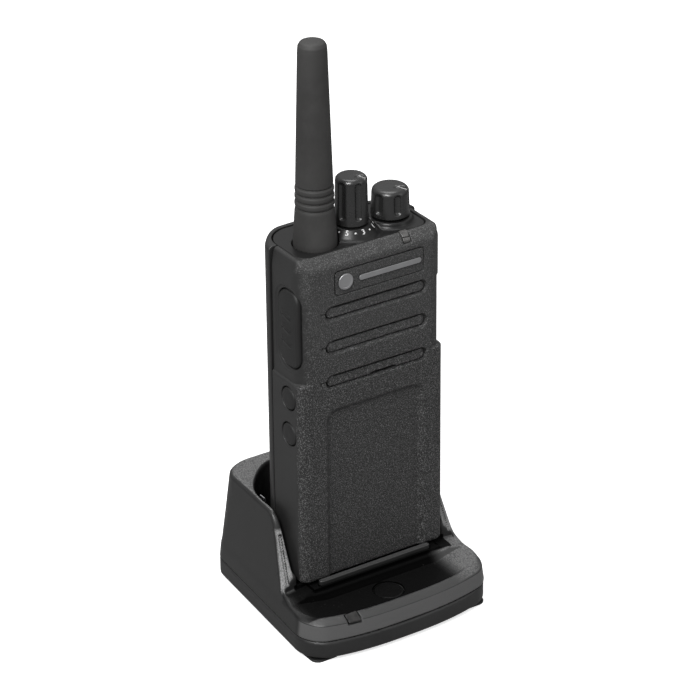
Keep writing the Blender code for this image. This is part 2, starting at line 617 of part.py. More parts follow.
accessory_jack = box("accessory_jack", 21.2, 25.2, 4.9, 11.1, 98.6, 109.8, 0.2, look=BLACK_SMOOTH)
for i, z in enumerate((101.6, 106.8)):
    boolean(accessory_jack, cylinder(f"cut_jack_socket_{i}", (24.0, 8.0, z), 1.3 + 0.5 * i, 5.0, "X", 14, cutter=True))

# ---------------------------------------------------------------- side controls
ptt_shell = front_outer("ptt_envelope", grow=0.55, yb=SPLIT_Y, cutter=True)
ptt_button = loft(
    "ptt_button",
    [
        oval_yz(-32.0, PTT_Y, PTT_Z, PTT_HW, PTT_HH, 4.6),
        oval_yz(-25.0, PTT_Y, PTT_Z, PTT_HW, PTT_HH, 4.6),
        oval_yz(-24.4, PTT_Y, PTT_Z, PTT_HW - 1.6, PTT_HH - 1.6, 3.2),
    ],
    look=RUBBER_BLACK,
    origin=(-HALF_W_UP, PTT_Y, PTT_Z),
)
boolean(ptt_button, ptt_shell, "INTERSECT")
for tag, z in (("upper", BTN_Z_UP), ("lower", BTN_Z_LOW)):
    loft(
        f"side_button_{tag}",
        [
            circle_yz(-28.35, BTN_Y, z, BTN_R - 0.9),
            circle_yz(-28.2, BTN_Y, z, BTN_R - 0.25),
            circle_yz(-27.9, BTN_Y, z, BTN_R),
            circle_yz(-25.3, BTN_Y, z, BTN_R),
            circle_yz(-25.2, BTN_Y, z, BTN_R - 1.4),
            circle_yz(-24.2, BTN_Y, z, BTN_R - 1.4),
        ],
        look=RUBBER_BLACK,
        origin=(-HALF_W_LOW, BTN_Y, z),
    )

# Dust cover of the accessory jack: hinged along its lower edge, with a finger lip at the top
COVER_HINGE_X, COVER_HINGE_Z = 27.6, 96.2
jack_cover = box("jack_cover", 26.5, 27.6, 3.5, 12.5, 96.2, 112.7, 0.15, look=RUBBER_BLACK, origin=(COVER_HINGE_X, 8.0, COVER_HINGE_Z))
cover_lip = box("jack_cover_lip_join", 27.0, 28.0, 4.2, 11.8, 106.6, 112.4, 0.2, cutter=True)
boolean(jack_cover, cover_lip, "UNION")

# ---------------------------------------------------------------- battery
BAT_FLANK = [(23.3, 24.7), (23.0, 25.8), (22.0, 28.1), (20.1, 31.0), (18.0, 33.8), (15.6, 36.3), (12.6, 38.0), (9.0, 38.8), (4.5, 39.1)]
BAT_CROWN = 39.2


def battery_ring(inset, back, z):
    """Plan of the battery: flanks slanting in to a crowned back that lies at depth back."""
    k = (back - 24.7) / (BAT_CROWN - 24.7)
    right = [(x - inset, 24.7 + (y - 24.7) * k) for x, y in BAT_FLANK]
    return at_z(right + [(0.0, back)] + [(-x, y) for x, y in reversed(right)], z)


battery_case = loft(
    "battery_case",
    [
        battery_ring(1.6, BAT_CROWN - 2.6, BAT_Z0),
        battery_ring(0.4, BAT_CROWN - 0.6, BAT_Z0 + 1.0),
        battery_ring(0.0, BAT_CROWN, BAT_Z0 + 3.0),
        battery_ring(0.0, BAT_CROWN, 82.0),
        battery_ring(0.0, BAT_CROWN - 2.6, 87.5),
        battery_ring(0.2, 32.6, BAT_Z1 - 1.2),
        battery_ring(0.9, 29.4, BAT_Z1 - 0.2),
    ],
    look=BLACK_SMOOTH,
    origin=(0.0, BAT_PIVOT_Y, BAT_PIVOT_Z),
)
battery_hollow = loft(
    "cut_battery_hollow",
    [
        [(x, 20.0, z) for x, z in rounded(-20.4, 20.4, 6.0, 86.0, 2.0, 3)],
        [(x, 27.4, z) for x, z in rounded(-20.0, 20.0, 6.0, 86.0, 2.0, 3)],
        [(x, 32.0, z) for x, z in rounded(-16.8, 16.8, 6.6, 83.0, 2.0, 3)],
        [(x, 36.4, z) for x, z in rounded(-12.4, 12.4, 8.0, 80.0, 2.0, 3)],
    ],
    cutter=True,
)
boolean(battery_case, battery_hollow)
battery_base = box("battery_base", -22.6, 22.6, BAT_Y0 - 0.4, BAT_Y0 + 1.0, BAT_Z0 + 1.4, 90.6, 0.3, look=BLACK_SMOOTH, origin=(0.0, BAT_PIVOT_Y, BAT_PIVOT_Z))
battery_cell = box("battery_cell", -13.6, 13.6, 25.4, 34.8, 9.0, 79.0, 1.5, 2, look=CELL, origin=(0.0, BAT_PIVOT_Y, BAT_PIVOT_Z))
battery_latch = box("battery_latch", -8.0, 8.0, 27.9, 30.9, 94.6, 99.2, 0.5, look=BLACK_SMOOTH, origin=(0.0, 29.4, 96.9))
battery_terminal_block = box("battery_terminal_block", -7.0, 7.0, 17.4, 21.8, 9.4, 14.1, 0.2, look=BLACK_SMOOTH)
for side, x in (("left", -PIN_X), ("right", PIN_X)):
    box(f"charging_pad_{side}", x - 2.0, x + 2.0, 31.0, 35.2, BAT_Z0 - 0.9, BAT_Z0 - 0.35, look=GOLD, origin=(0.0, BAT_PIVOT_Y, BAT_PIVOT_Z))

# ---------------------------------------------------------------- charging tray
def tray_front_y(x, half_width, y0):
    """Front edge of the tray: a shallow bow between its two corners."""
    return y0 - TRAY_BOW * (1 - abs(x / half_width) ** 2.6)


def tray_outline(z, inset=0.0, lean=0.0, n=5, m=6, front=None):
    """Plan of the tray. inset moves every side in; lean pulls the side walls in with height."""
    f = TRAY_FRONT_HW - inset - lean
    b = TRAY_BACK_HW - inset - 0.68 * lean
    y0 = TRAY_Y0 + inset if front is None else front
    y1 = TRAY_Y1 - inset - lean * 0.25
    rf, rb = max(8.0 - inset, 2.0), max(5.2 - 0.6 * inset, 2.0)
    taper = math.degrees(math.atan2(f - b, y1 - y0))
    pts = []
    slope, end = 0.0, f - rf
    for _ in range(6):
        slope = math.atan(2.6 * TRAY_BOW / f * (end / f) ** 1.6)
        end = f - rf + rf * math.sin(slope)
    for i in range(-m, m + 1):
        x = end * i / m
        pts.append((x, tray_front_y(x, f, y0)))
    cx = f - rf
    cy = tray_front_y(end, f, y0) + rf * math.cos(slope)
    slope = math.degrees(slope)
    right_front = arc(cx, cy, rf, -90 + slope, taper, n)[1:]
    right_back = arc(b - rb + (f - b) * 0.06, y1 - rb, rb, taper, 90, n)
    right = right_front + right_back
    pts += right + [(-x, y) for x, y in reversed(right)]
    return at_z(pts, z)


tray_housing = loft(
    "tray_housing",
    [
        tray_outline(HOUSE_Z0, 0.0),
        tray_outline(-5.8, 0.5),
        tray_outline(-3.9, 0.7, 0.2, front=TRAY_Y0 + 3.6),
        tray_outline(8.0, 0.9, 1.4, front=TRAY_Y0 + 4.0),
        tray_outline(21.8, 1.0, 2.8, front=TRAY_Y0 + 4.3),
        tray_outline(HOUSE_TOP, 2.0, 3.0, front=TRAY_Y0 + 5.0),
    ],
    look=BLACK_SATIN,
)
# Sweep of the side cheeks, cut across the full width
SWEEP = [(-30.0, -3.9), (-4.0, -3.9), (-1.5, -3.4), (1.2, -2.4), (3.1, -1.0), (5.2, 3.0), (7.0, 7.0), (8.9, 11.0), (11.6, 17.6), (13.6, 20.5), (16.2, 22.1), (19.5, 24.0), (19.5, 60.0), (-30.0, 60.0)]
sweep_cut = loft("cut_tray_sweep", [[(-60.0, y, z) for y, z in SWEEP], [(60.0, y, z) for y, z in SWEEP]], cutter=True)
boolean(tray_housing, sweep_cut)


def pocket_outline(grow=0.0):
    w = POCKET_X + grow
    right = [(w, -4.0), (w, 22.0), (w - 0.6, 27.0), (w - 2.6, 31.5), (w - 5.6, 35.4), (w - 9.0, 39.0), (w - 13.0, 42.0 + grow), (w - 17.5, POCKET_BACK + grow)]
    return right + [(-x, y) for x, y in reversed(right)]


pocket_cut = prism("cut_pocket", pocket_outline(), FLOOR_BACK_Z, 60.0, cutter=True)
boolean(tray_housing, pocket_cut)
basin_right = [(24.4, tray_front_y(24.4, TRAY_FRONT_HW, TRAY_Y0) + 4.4), (28.0, -13.6), (30.4, -11.4), (31.6, -8.0), (31.6, 1.0)]
basin_front = [(x, tray_front_y(x, TRAY_FRONT_HW, TRAY_Y0) + 4.3) for x in (-18.0, -12.0, -6.0, 0.0, 6.0, 12.0, 18.0)]
basin_plan = [(-x, y) for x, y in reversed(basin_right)] + basin_front + basin_right
basin = [at_z(basin_plan, FLOOR_FRONT_Z), at_z(basin_plan, 30.0)]
basin_cut = loft("cut_basin", basin, cutter=True)
boolean(tray_housing, basin_cut)
# the pocket's floor stands above the basin on a plinth that ends just in front of the radio
plinth = box("plinth_join", -25.0, 25.0, -1.9, 5.6, -6.4, FLOOR_BACK_Z, cutter=True)
boolean(tray_housing, plinth, "UNION")
under_back = prism("cut_under_back", rounded(-27.0, 27.0, 2.0, 46.0, 4.0, 3), -14.0, -4.2, cutter=True)
boolean(tray_housing, under_back)
under_front = prism("cut_under_front", rounded(-29.0, 29.0, -14.5, 3.0, 4.0, 3), -14.0, -7.6, cutter=True)
boolean(tray_housing, under_front)
for side, x in (("left", -PIN_X), ("right", PIN_X)):
    boolean(tray_housing, box(f"cut_pin_slot_{side}", x - 1.6, x + 1.6, PIN_Y - 1.4, PIN_Y + 1.4, -8.0, 2.0, cutter=True))
boolean(tray_housing, cylinder("cut_emblem", (-1.5, -10.5, -0.8), 5.2, 11.0, "Z", 28, cutter=True))
boolean(tray_housing, box("cut_indicator", -22.9, -18.0, -24.0, -16.2, -6.7, 2.0, cutter=True))
for side, s in (("left", -1), ("right", 1)):
    a, b = sorted((s * 29.0, s * 30.6))
    boolean(tray_housing, box(f"cut_spring_slot_{side}", a, b, 21.2, 24.8, -0.8, 15.0, cutter=True))
ridge = prism("ridge_join", rounded(-22.5, 21.0, -1.85, -0.05, 0.85, 3), -2.2, -0.45, cutter=True)
boolean(tray_housing, ridge, "UNION")
for i, x in enumerate((-17.0, 17.0)):
    boolean(tray_housing, box(f"rest_rib_{i}_join", x - 1.2, x + 1.2, 5.0, 22.0, -2.4, -0.35, cutter=True), "UNION")

tray_bottom_cover = loft(
    "tray_bottom_cover",
    [
        tray_outline(COVER_Z0, 1.8),
        tray_outline(COVER_Z0 + 0.6, 0.7),
        tray_outline(COVER_Z0 + 1.8, 0.15),
        tray_outline(COVER_Z1, 0.05),
    ],
    look=BLACK_SMOOTH,
)
boolean(tray_bottom_cover, loft("cut_cover_hollow", [tray_outline(-16.3, 3.0), tray_outline(-8.0, 3.0)], cutter=True))
boolean(tray_bottom_cover, box("cut_power_notch", -4.8, 4.8, 40.0, 60.0, -16.9, -5.0, cutter=True))
FEET = {"front_left": (-27.6, -9.8), "front_right": (27.6, -9.8), "rear_left": (-24.6, 42.4), "rear_right": (24.6, 42.4)}


def foot_pad(x, y, inset, z):
    """Pad of a foot: it reaches out to the corner of the tray past its own plug."""
    out = (6.6 if y < 0 else 5.6) - inset
    near, far = 4.3 - inset, 6.6 - inset
    x0, x1 = (x - out, x + near) if x < 0 else (x - near, x + out)
    y0, y1 = (y - far, y + near) if y < 0 else (y - near, y + far)
    return at_z(rounded(x0, x1, y0, y1, 3.0 - inset, 4), z)


for tag, (x, y) in FEET.items():
    pocket = prism(f"cut_foot_{tag}", rounded(x - 4.8, x + 4.8, y - 4.8, y + 4.8, 3.6, 4), -25.0, COVER_Z0 + 0.6, cutter=True)
    boolean(tray_bottom_cover, pocket)
    loft(
        f"tray_foot_{tag}",
        [
            foot_pad(x, y, 0.5, -19.5),
            foot_pad(x, y, 0.0, -19.0),
            foot_pad(x, y, 0.0, COVER_Z0 - 0.4),
            at_z(rounded(x - 4.3, x + 4.3, y - 4.3, y + 4.3, 3.0, 4), COVER_Z0 - 0.35),
            at_z(rounded(x - 4.3, x + 4.3, y - 4.3, y + 4.3, 3.0, 4), COVER_Z0 + 0.3),
        ],
        look=RUBBER_BLACK,
    )
SCREWS_TRAY = {"front_left": (-16.0, -9.0), "front_right": (16.0, -9.0), "rear_left": (-15.0, 41.5), "rear_right": (15.0, 41.5)}
for tag, (x, y) in SCREWS_TRAY.items():
    boolean(tray_bottom_cover, cylinder(f"cut_cover_screw_{tag}", (x, y, -18.0), 1.35, 8.0, "Z", 12, cutter=True))
    boolean(tray_bottom_cover, cylinder(f"cut_cover_head_{tag}", (x, y, -19.3), 2.6, 4.0, "Z", 16, cutter=True))
    top = -8.2 if y < 0 else -5.0
    boss = cylinder(f"boss_{tag}_join", (x, y, (top + 1.2 - 15.9) / 2), 2.8, top + 1.2 + 15.9, "Z", 16, cutter=True)
    boolean(tray_housing, boss, "UNION")
    boolean(tray_housing, cylinder(f"cut_boss_{tag}", (x, y, -14.0), 1.25, 7.0, "Z", 12, cutter=True))
    turned(
        f"tray_screw_{tag}",
        [(0.0, -11.2), (0.9, -11.6), (1.0, -17.35), (2.2, -17.5), (2.2, -18.4), (0.9, -18.4), (0.9, -17.9), (0.0, -17.9)],
        (x, y),
        10,
        look=STEEL,
    )

tray_circuit_board = box("tray_circuit_board", -11.5, 11.5, 14.0, 37.4, -15.4, -14.2, look=BOARD)
contact_block = box("contact_block", -10.0, 10.0, PIN_Y - 3.4, PIN_Y + 3.4, -13.9, -4.6, 0.2, look=BLACK_SMOOTH)
for side, x in (("left", -PIN_X), ("right", PIN_X)):
    boolean(contact_block, box(f"cut_block_slot_{side}", x - 1.3, x + 1.3, PIN_Y - 1.2, PIN_Y + 1.2, -12.6, 0.0, cutter=True))
    loft(
        f"contact_pin_{side}",
        [
            at_z(rounded(x - 0.9, x + 0.9, PIN_Y - 0.8, PIN_Y + 0.8, 0.3, 2), -10.8),
            at_z(rounded(x - 0.9, x + 0.9, PIN_Y - 0.8, PIN_Y + 0.8, 0.3, 2), PIN_TOP - 0.8),
            at_z(rounded(x - 0.5, x + 0.5, PIN_Y - 0.5, PIN_Y + 0.5, 0.3, 2), PIN_TOP),
        ],
        look=GOLD,
        origin=(x, PIN_Y, PIN_TOP),
    )
tray_power_jack = box("tray_power_jack", -4.3, 4.3, 40.0, 50.4, -16.5, -12.0, 0.2, look=BLACK_SMOOTH)
boolean(tray_power_jack, cylinder("cut_power_socket", (0.0, 48.0, -14.25), 1.7, 8.0, "Y", 16, cutter=True))
tray_emblem_disc = cylinder("tray_emblem_disc", (-1.5, -10.5, -5.6), 4.9, 0.9, "Z", 28, look=BLACK_SMOOTH)
LENS_X0, LENS_X1, LENS_BACK = -22.6, -18.3, -16.5
lens_low = [tray_front_y(x, TRAY_FRONT_HW - 0.5, TRAY_Y0 + 0.5) for x in (LENS_X0, LENS_X1)]
lens_top = [tray_front_y(x, TRAY_FRONT_HW - 0.9, TRAY_Y0 + 3.5) for x in (LENS_X0, LENS_X1)]
tray_indicator_lens = loft(
    "tray_indicator_lens",
    [
        [(LENS_X0, lens_low[0], -6.4), (LENS_X1, lens_low[1], -6.4), (LENS_X1, LENS_BACK, -6.4), (LENS_X0, LENS_BACK, -6.4)],
        [(LENS_X0, lens_low[0], -5.85), (LENS_X1, lens_low[1], -5.85), (LENS_X1, LENS_BACK, -5.85), (LENS_X0, LENS_BACK, -5.85)],
        [(LENS_X0, lens_top[0], -4.0), (LENS_X1, lens_top[1], -4.0), (LENS_X1, LENS_BACK, -4.0), (LENS_X0, LENS_BACK, -4.0)],
    ],
    look=LENS,
)
for side, s in (("left", -1), ("right", 1)):
    spring_pts = [(29.9, 0.0), (29.9, 11.0), (28.95, 14.0), (28.9, 21.0), (29.15, 21.0), (29.2, 14.2), (30.2, 11.2), (30.2, 0.0)]
    loft(
        f"guide_spring_{side}",
        [[(s * x, 21.8, z) for x, z in spring_pts], [(s * x, 24.2, z) for x, z in spring_pts]],
        look=STEEL,
    )
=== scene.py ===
import math

import bmesh
import bpy
import numpy as np
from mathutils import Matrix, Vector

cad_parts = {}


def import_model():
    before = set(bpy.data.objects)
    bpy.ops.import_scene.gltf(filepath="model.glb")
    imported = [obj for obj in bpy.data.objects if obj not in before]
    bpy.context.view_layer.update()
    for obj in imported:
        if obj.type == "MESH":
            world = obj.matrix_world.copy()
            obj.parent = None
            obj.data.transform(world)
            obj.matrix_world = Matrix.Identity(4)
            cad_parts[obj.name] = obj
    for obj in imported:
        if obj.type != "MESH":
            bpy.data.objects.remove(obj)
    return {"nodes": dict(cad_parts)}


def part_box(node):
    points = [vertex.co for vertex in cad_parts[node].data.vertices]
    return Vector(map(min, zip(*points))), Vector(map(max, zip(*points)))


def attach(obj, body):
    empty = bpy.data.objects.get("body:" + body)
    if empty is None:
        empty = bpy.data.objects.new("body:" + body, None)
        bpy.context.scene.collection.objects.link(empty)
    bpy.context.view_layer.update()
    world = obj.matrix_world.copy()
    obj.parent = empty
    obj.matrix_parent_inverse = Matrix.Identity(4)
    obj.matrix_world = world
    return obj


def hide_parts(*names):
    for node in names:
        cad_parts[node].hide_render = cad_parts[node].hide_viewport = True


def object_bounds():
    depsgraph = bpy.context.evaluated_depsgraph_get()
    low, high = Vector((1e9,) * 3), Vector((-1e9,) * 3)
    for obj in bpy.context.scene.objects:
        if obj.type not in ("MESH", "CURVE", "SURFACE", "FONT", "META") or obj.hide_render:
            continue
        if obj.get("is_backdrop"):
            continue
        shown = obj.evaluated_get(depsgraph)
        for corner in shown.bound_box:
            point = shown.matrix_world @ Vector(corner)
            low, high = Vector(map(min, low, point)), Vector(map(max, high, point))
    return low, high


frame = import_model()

import openvdb
from mathutils import Matrix, Vector

CAD_LO, CAD_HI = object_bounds()
MM = 0.001

# The radio's local frame in millimetres: x 0 on its centre line, y 0 on its front face, z 0 on its bottom edge.
_front_lo, _front_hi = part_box("front_housing")
ORG = np.array([(_front_lo.x + _front_hi.x) / 2, _front_lo.y, _front_lo.z])


def local_box(node):
    lo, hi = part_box(node)
    return (np.array(lo) - ORG) / MM, (np.array(hi) - ORG) / MM


def world(points):
    return np.asarray(points, float) * MM + ORG


# =====================================================================================
# Distance fields: each moulded piece is a solid described by distances, then meshed.
# =====================================================================================
F = np.float32


def smax(a, b, r=0.0):
    if r <= 0:
        return np.maximum(a, b)
    u, v = np.maximum(a + r, 0), np.maximum(b + r, 0)
    return np.minimum(np.maximum(a, b), -r) + np.sqrt(u * u + v * v)


def smin(a, b, r=0.0):
    return -smax(-a, -b, r)


def ease(t):
    t = np.clip(t, 0, 1)
    return t * t * (3 - 2 * t)


def rect2(a, b, a0, a1, b0, b1, r=0.0):
    qa = np.abs(a - (a0 + a1) / 2) - ((a1 - a0) / 2 - r)
    qb = np.abs(b - (b0 + b1) / 2) - ((b1 - b0) / 2 - r)
    return np.sqrt(np.maximum(qa, 0) ** 2 + np.maximum(qb, 0) ** 2) + np.minimum(np.maximum(qa, qb), 0) - r


def slab(c, c0, c1):
    return np.abs(c - (c0 + c1) / 2) - (c1 - c0) / 2


def poly2(a, b, pts):
    """Signed distance to a closed polygon in two broadcast coordinates."""
    a, b = np.broadcast_arrays(a, b)
    best = np.full(a.shape, 1e9, F)
    inside = np.zeros(a.shape, bool)
    n = len(pts)
    for i in range(n):
        (x0, y0), (x1, y1) = pts[i], pts[(i + 1) % n]
        ex, ey = x1 - x0, y1 - y0
        t = np.clip(((a - x0) * ex + (b - y0) * ey) / max(ex * ex + ey * ey, 1e-12), 0, 1)
        best = np.minimum(best, (a - x0 - t * ex) ** 2 + (b - y0 - t * ey) ** 2)
        if y0 != y1:
            crosses = ((y0 > b) != (y1 > b)) & (a < (x1 - x0) * (b - y0) / (y1 - y0) + x0)
            inside ^= crosses
    return np.where(inside, -1, 1) * np.sqrt(best)


def chaikin(pts, rounds=2, closed=True):
    pts = [tuple(p) for p in pts]
    for _ in range(rounds):
        out = [] if closed else [pts[0]]
        m = len(pts)
        for i in range(m if closed else m - 1):
            p, q = pts[i], pts[(i + 1) % m]
            out.append(tuple(0.75 * u + 0.25 * v for u, v in zip(p, q)))
            out.append(tuple(0.25 * u + 0.75 * v for u, v in zip(p, q)))
        if not closed:
            out.append(pts[-1])
        pts = out
    return pts


# ---- primitives: (distance function, bounding box)
def b_box(x0, x1, y0, y1, z0, z1, r=0.0):
    def f(X, Y, Z):
        qx, qy, qz = slab(X, x0 + r, x1 - r), slab(Y, y0 + r, y1 - r), slab(Z, z0 + r, z1 - r)
        return np.sqrt(np.maximum(qx, 0) ** 2 + np.maximum(qy, 0) ** 2 + np.maximum(qz, 0) ** 2) + np.minimum(np.maximum(np.maximum(qx, qy), qz), 0) - r
    return f, (x0, x1, y0, y1, z0, z1)


def b_prism(axis, a0, a1, b0, b1, r, c0, c1, edge=0.0):
    """Rounded rectangle across the two other axes (in x, y, z order), extruded along axis from c0 to c1."""
    def f(X, Y, Z):
        A, B, C = {"x": (Y, Z, X), "y": (X, Z, Y), "z": (X, Y, Z)}[axis]
        return smax(rect2(A, B, a0, a1, b0, b1, r), slab(C, c0, c1), edge)
    box = {"x": (c0, c1, a0, a1, b0, b1), "y": (a0, a1, c0, c1, b0, b1), "z": (a0, a1, b0, b1, c0, c1)}[axis]
    return f, box


def b_cyl(axis, ca, cb, rad, c0, c1, edge=0.0):
    def f(X, Y, Z):
        A, B, C = {"x": (Y, Z, X), "y": (X, Z, Y), "z": (X, Y, Z)}[axis]
        return smax(np.sqrt((A - ca) ** 2 + (B - cb) ** 2) - rad, slab(C, c0, c1), edge)
    a, b = (ca - rad, ca + rad), (cb - rad, cb + rad)
    box = {"x": (c0, c1, *a, *b), "y": (*a, c0, c1, *b), "z": (*a, *b, c0, c1)}[axis]
    return f, box


def b_capsule(p, q, rad):
    p, q = np.array(p, float), np.array(q, float)
    e = q - p
    ee = max(float(e @ e), 1e-9)
    def f(X, Y, Z):
        t = np.clip(((X - p[0]) * e[0] + (Y - p[1]) * e[1] + (Z - p[2]) * e[2]) / ee, 0, 1)
        return np.sqrt((X - p[0] - t * e[0]) ** 2 + (Y - p[1] - t * e[1]) ** 2 + (Z - p[2] - t * e[2]) ** 2) - rad
    lo, hi = np.minimum(p, q) - rad, np.maximum(p, q) + rad
    return f, (lo[0], hi[0], lo[1], hi[1], lo[2], hi[2])


class Field:
    """A block of distances on a regular grid, in local millimetres."""

    def __init__(self, lo, hi, h, coarse=1.7):
        self.h = h * 1.0
        self.lo = np.array(lo, float) - 4 * self.h
        self.n = [int(math.ceil((hi[i] + 4 * self.h - self.lo[i]) / self.h)) + 1 for i in range(3)]
        self.axes = [(self.lo[i] + self.h * np.arange(self.n[i])).astype(F) for i in range(3)]
        self.d = np.full(self.n, 50.0, F)

    def grid(self, box=None, margin=0.0):
        cuts = []
        for i in range(3):
            if box is None:
                cuts.append(slice(0, self.n[i]))
            else:
                i0 = max(0, int(math.floor((box[2 * i] - margin - self.lo[i]) / self.h)))
                i1 = min(self.n[i], int(math.ceil((box[2 * i + 1] + margin - self.lo[i]) / self.h)) + 1)
                if i1 <= i0:
                    return None, None
                cuts.append(slice(i0, i1))
        ax = [self.axes[i][cuts[i]] for i in range(3)]
        return tuple(cuts), (ax[0][:, None, None], ax[1][None, :, None], ax[2][None, None, :])

    def start(self, f):
        _, g = self.grid()
        self.d[...] = f(*g)

    def _op(self, solid, r, how):
        f, box = solid
        cuts, g = self.grid(box, max(r, 3 * self.h) + self.h)
        if cuts is None:
            return self
        v = f(*g)
        if how == "cut":
            self.d[cuts] = smax(self.d[cuts], -v, r)
        elif how == "add":
            self.d[cuts] = smin(self.d[cuts], v, r)
        else:
            self.d[cuts] = smax(self.d[cuts], v, r)
        return self

    def cut(self, solid, r=0.0):
        return self._op(solid, r, "cut")

    def add(self, solid, r=0.0):
        return self._op(solid, r, "add")

    def carve(self, f, box):
        """Takes away what lies outside f, a distance that is below zero where material may stay."""
        cuts, g = self.grid(box, 0.0)
        if cuts is not None:
            self.d[cuts] = np.maximum(self.d[cuts], f(*g))
        return self

    def sample(self, p):
        q = (p - self.lo) / self.h
        i = np.clip(np.floor(q).astype(np.int32), 0, np.array(self.n) - 2)
        t = (q - i).astype(F)
        out = 0
        for dx in (0, 1):
            for dy in (0, 1):
                for dz in (0, 1):
                    w = (t[:, 0] if dx else 1 - t[:, 0]) * (t[:, 1] if dy else 1 - t[:, 1]) * (t[:, 2] if dz else 1 - t[:, 2])
                    out = out + w * self.d[i[:, 0] + dx, i[:, 1] + dy, i[:, 2] + dz]
        return out

    def mesh(self, name, mat, adapt=0.02):
        band = 3.0 * self.h
        d = np.clip(self.d, -band, band)
        d[0], d[-1], d[:, 0], d[:, -1], d[:, :, 0], d[:, :, -1] = (band,) * 6
        g = openvdb.FloatGrid(float(band))
        g.copyFromArray(np.ascontiguousarray(d), tolerance=0.0)
        pts, tris, quads = g.convertToPolygons(isovalue=0.0, adaptivity=adapt)
        pts = np.asarray(pts, float) * self.h + self.lo
        tris, quads = np.asarray(tris, np.int64).reshape(-1, 3), np.asarray(quads, np.int64).reshape(-1, 4)
        tri_all = np.concatenate([tris, quads[:, [0, 1, 2]], quads[:, [0, 2, 3]]])
        a, b, c = (pts[tri_all[:, k]] for k in range(3))
        volume = np.einsum("ij,ij->i", a, np.cross(b, c)).sum() / 6
        if volume < 0:
            tris, quads = tris[:, ::-1], quads[:, ::-1]
        # keep only real bodies: specks with almost no volume are dropped
        parent = np.arange(len(pts))
        edges = np.concatenate([tri_all[:, [0, 1]], tri_all[:, [1, 2]]])
        while True:
            m = np.minimum(parent[edges[:, 0]], parent[edges[:, 1]])
            new = parent.copy()
            np.minimum.at(new, edges[:, 0], m)
            np.minimum.at(new, edges[:, 1], m)
            new = new[new]
            if (new == parent).all():
                break
            parent = new
        roots, counts = np.unique(parent, return_counts=True)
        keep = set(roots[counts > 60].tolist())
        if len(keep) < len(roots):
            ok = np.isin(parent, list(keep))
            index = np.cumsum(ok) - 1
            tris = index[tris[ok[tris].all(1)]] if len(tris) else tris
            quads = index[quads[ok[quads].all(1)]] if len(quads) else quads
            pts = pts[ok]
        # pull every point onto the surface, then read its normal from the field
        for _ in range(2):
            n = self.normals(pts)
            pts = pts - n * np.clip(self.sample(pts), -0.4 * self.h, 0.4 * self.h)[:, None] * 0.8
        n = self.normals(pts)
        me = bpy.data.meshes.new(name)
        total = len(tris) + len(quads)
        me.vertices.add(len(pts))
        me.vertices.foreach_set("co", world(pts).astype(np.float32).ravel())
        me.loops.add(len(tris) * 3 + len(quads) * 4)
        me.loops.foreach_set("vertex_index", np.concatenate([tris.ravel(), quads.ravel()]).astype(np.int32))
        me.polygons.add(total)
        starts = np.concatenate([np.arange(len(tris)) * 3, len(tris) * 3 + np.arange(len(quads)) * 4]).astype(np.int32)
        me.polygons.foreach_set("loop_start", starts)
        me.update(calc_edges=True)
        me.validate(clean_customdata=False)
        me.polygons.foreach_set("use_smooth", np.ones(len(me.polygons), bool))
        if len(me.vertices) == len(n):
            me.normals_split_custom_set_from_vertices(n.tolist())
        me.materials.append(mat)
        ob = bpy.data.objects.new(name, me)
        bpy.context.scene.collection.objects.link(ob)
        print(f"{name}: {len(me.polygons)} faces")
        return ob

    def normals(self, p):
        e = 0.6 * self.h
        n = np.empty_like(p)
        for k in range(3):
            s = np.zeros(3)
            s[k] = e
            n[:, k] = self.sample(p + s) - self.sample(p - s)
        return n / np.maximum(np.linalg.norm(n, axis=1), 1e-9)[:, None]


# =====================================================================================
# Materials: all procedural, in object coordinates (metres)
# =====================================================================================
def new_material(name):
    m = bpy.data.materials.new(name)
    m.use_nodes = True
    nt = m.node_tree
    bsdf = nt.nodes["Principled BSDF"]
    tc = nt.nodes.new("ShaderNodeTexCoord")
    return m, nt, bsdf, tc.outputs["Object"]


def put(nt, kind, **values):
    n = nt.nodes.new(kind)
    for k, v in values.items():
        if k in n.inputs:
            if hasattr(v, "is_linked"):
                nt.links.new(v, n.inputs[k])
            else:
                n.inputs[k].default_value = v
        else:
            setattr(n, k, v)
    return n


def noise(nt, vec, period_mm, detail=2.0, rough=0.5):
    return put(nt, "ShaderNodeTexNoise", Vector=vec, Scale=1000.0 / period_mm, Detail=detail, Roughness=rough).outputs["Fac"]


def cells(nt, vec, period_mm, feature="F1", smooth=False):
    n = put(nt, "ShaderNodeTexVoronoi", Vector=vec, Scale=1000.0 / period_mm)
    n.feature = "SMOOTH_F1" if smooth else feature
    return n.outputs["Distance"]


def span(nt, value, a, b, lo, hi, smooth=True):
    n = put(nt, "ShaderNodeMapRange", Value=value)
    n.interpolation_type = "SMOOTHSTEP" if smooth else "LINEAR"
    n.inputs["From Min"].default_value, n.inputs["From Max"].default_value = a, b
    n.inputs["To Min"].default_value, n.inputs["To Max"].default_value = lo, hi
    return n.outputs["Result"]


def arith(nt, op, a, b=0.0):
    n = nt.nodes.new("ShaderNodeMath")
    n.operation = op
    for i, v in enumerate((a, b)):
        if hasattr(v, "is_linked"):
            nt.links.new(v, n.inputs[i])
        else:
            n.inputs[i].default_value = v
    return n.outputs[0]


def blend_rgb(nt, fac, a, b):
    n = nt.nodes.new("ShaderNodeMix")
    n.data_type = "RGBA"
    for socket, v in ((n.inputs[0], fac), (n.inputs[6], a), (n.inputs[7], b)):
        if hasattr(v, "is_linked"):
            nt.links.new(v, socket)
        else:
            socket.default_value = v if not isinstance(v, tuple) else (*v, 1.0)
    return n.outputs[2]


def bump(nt, height, distance_mm, strength=1.0, normal=None):
    n = put(nt, "ShaderNodeBump", Height=height, Strength=strength, Distance=distance_mm * MM)
    if normal is not None:
        nt.links.new(normal, n.inputs["Normal"])
    return n.outputs["Normal"]


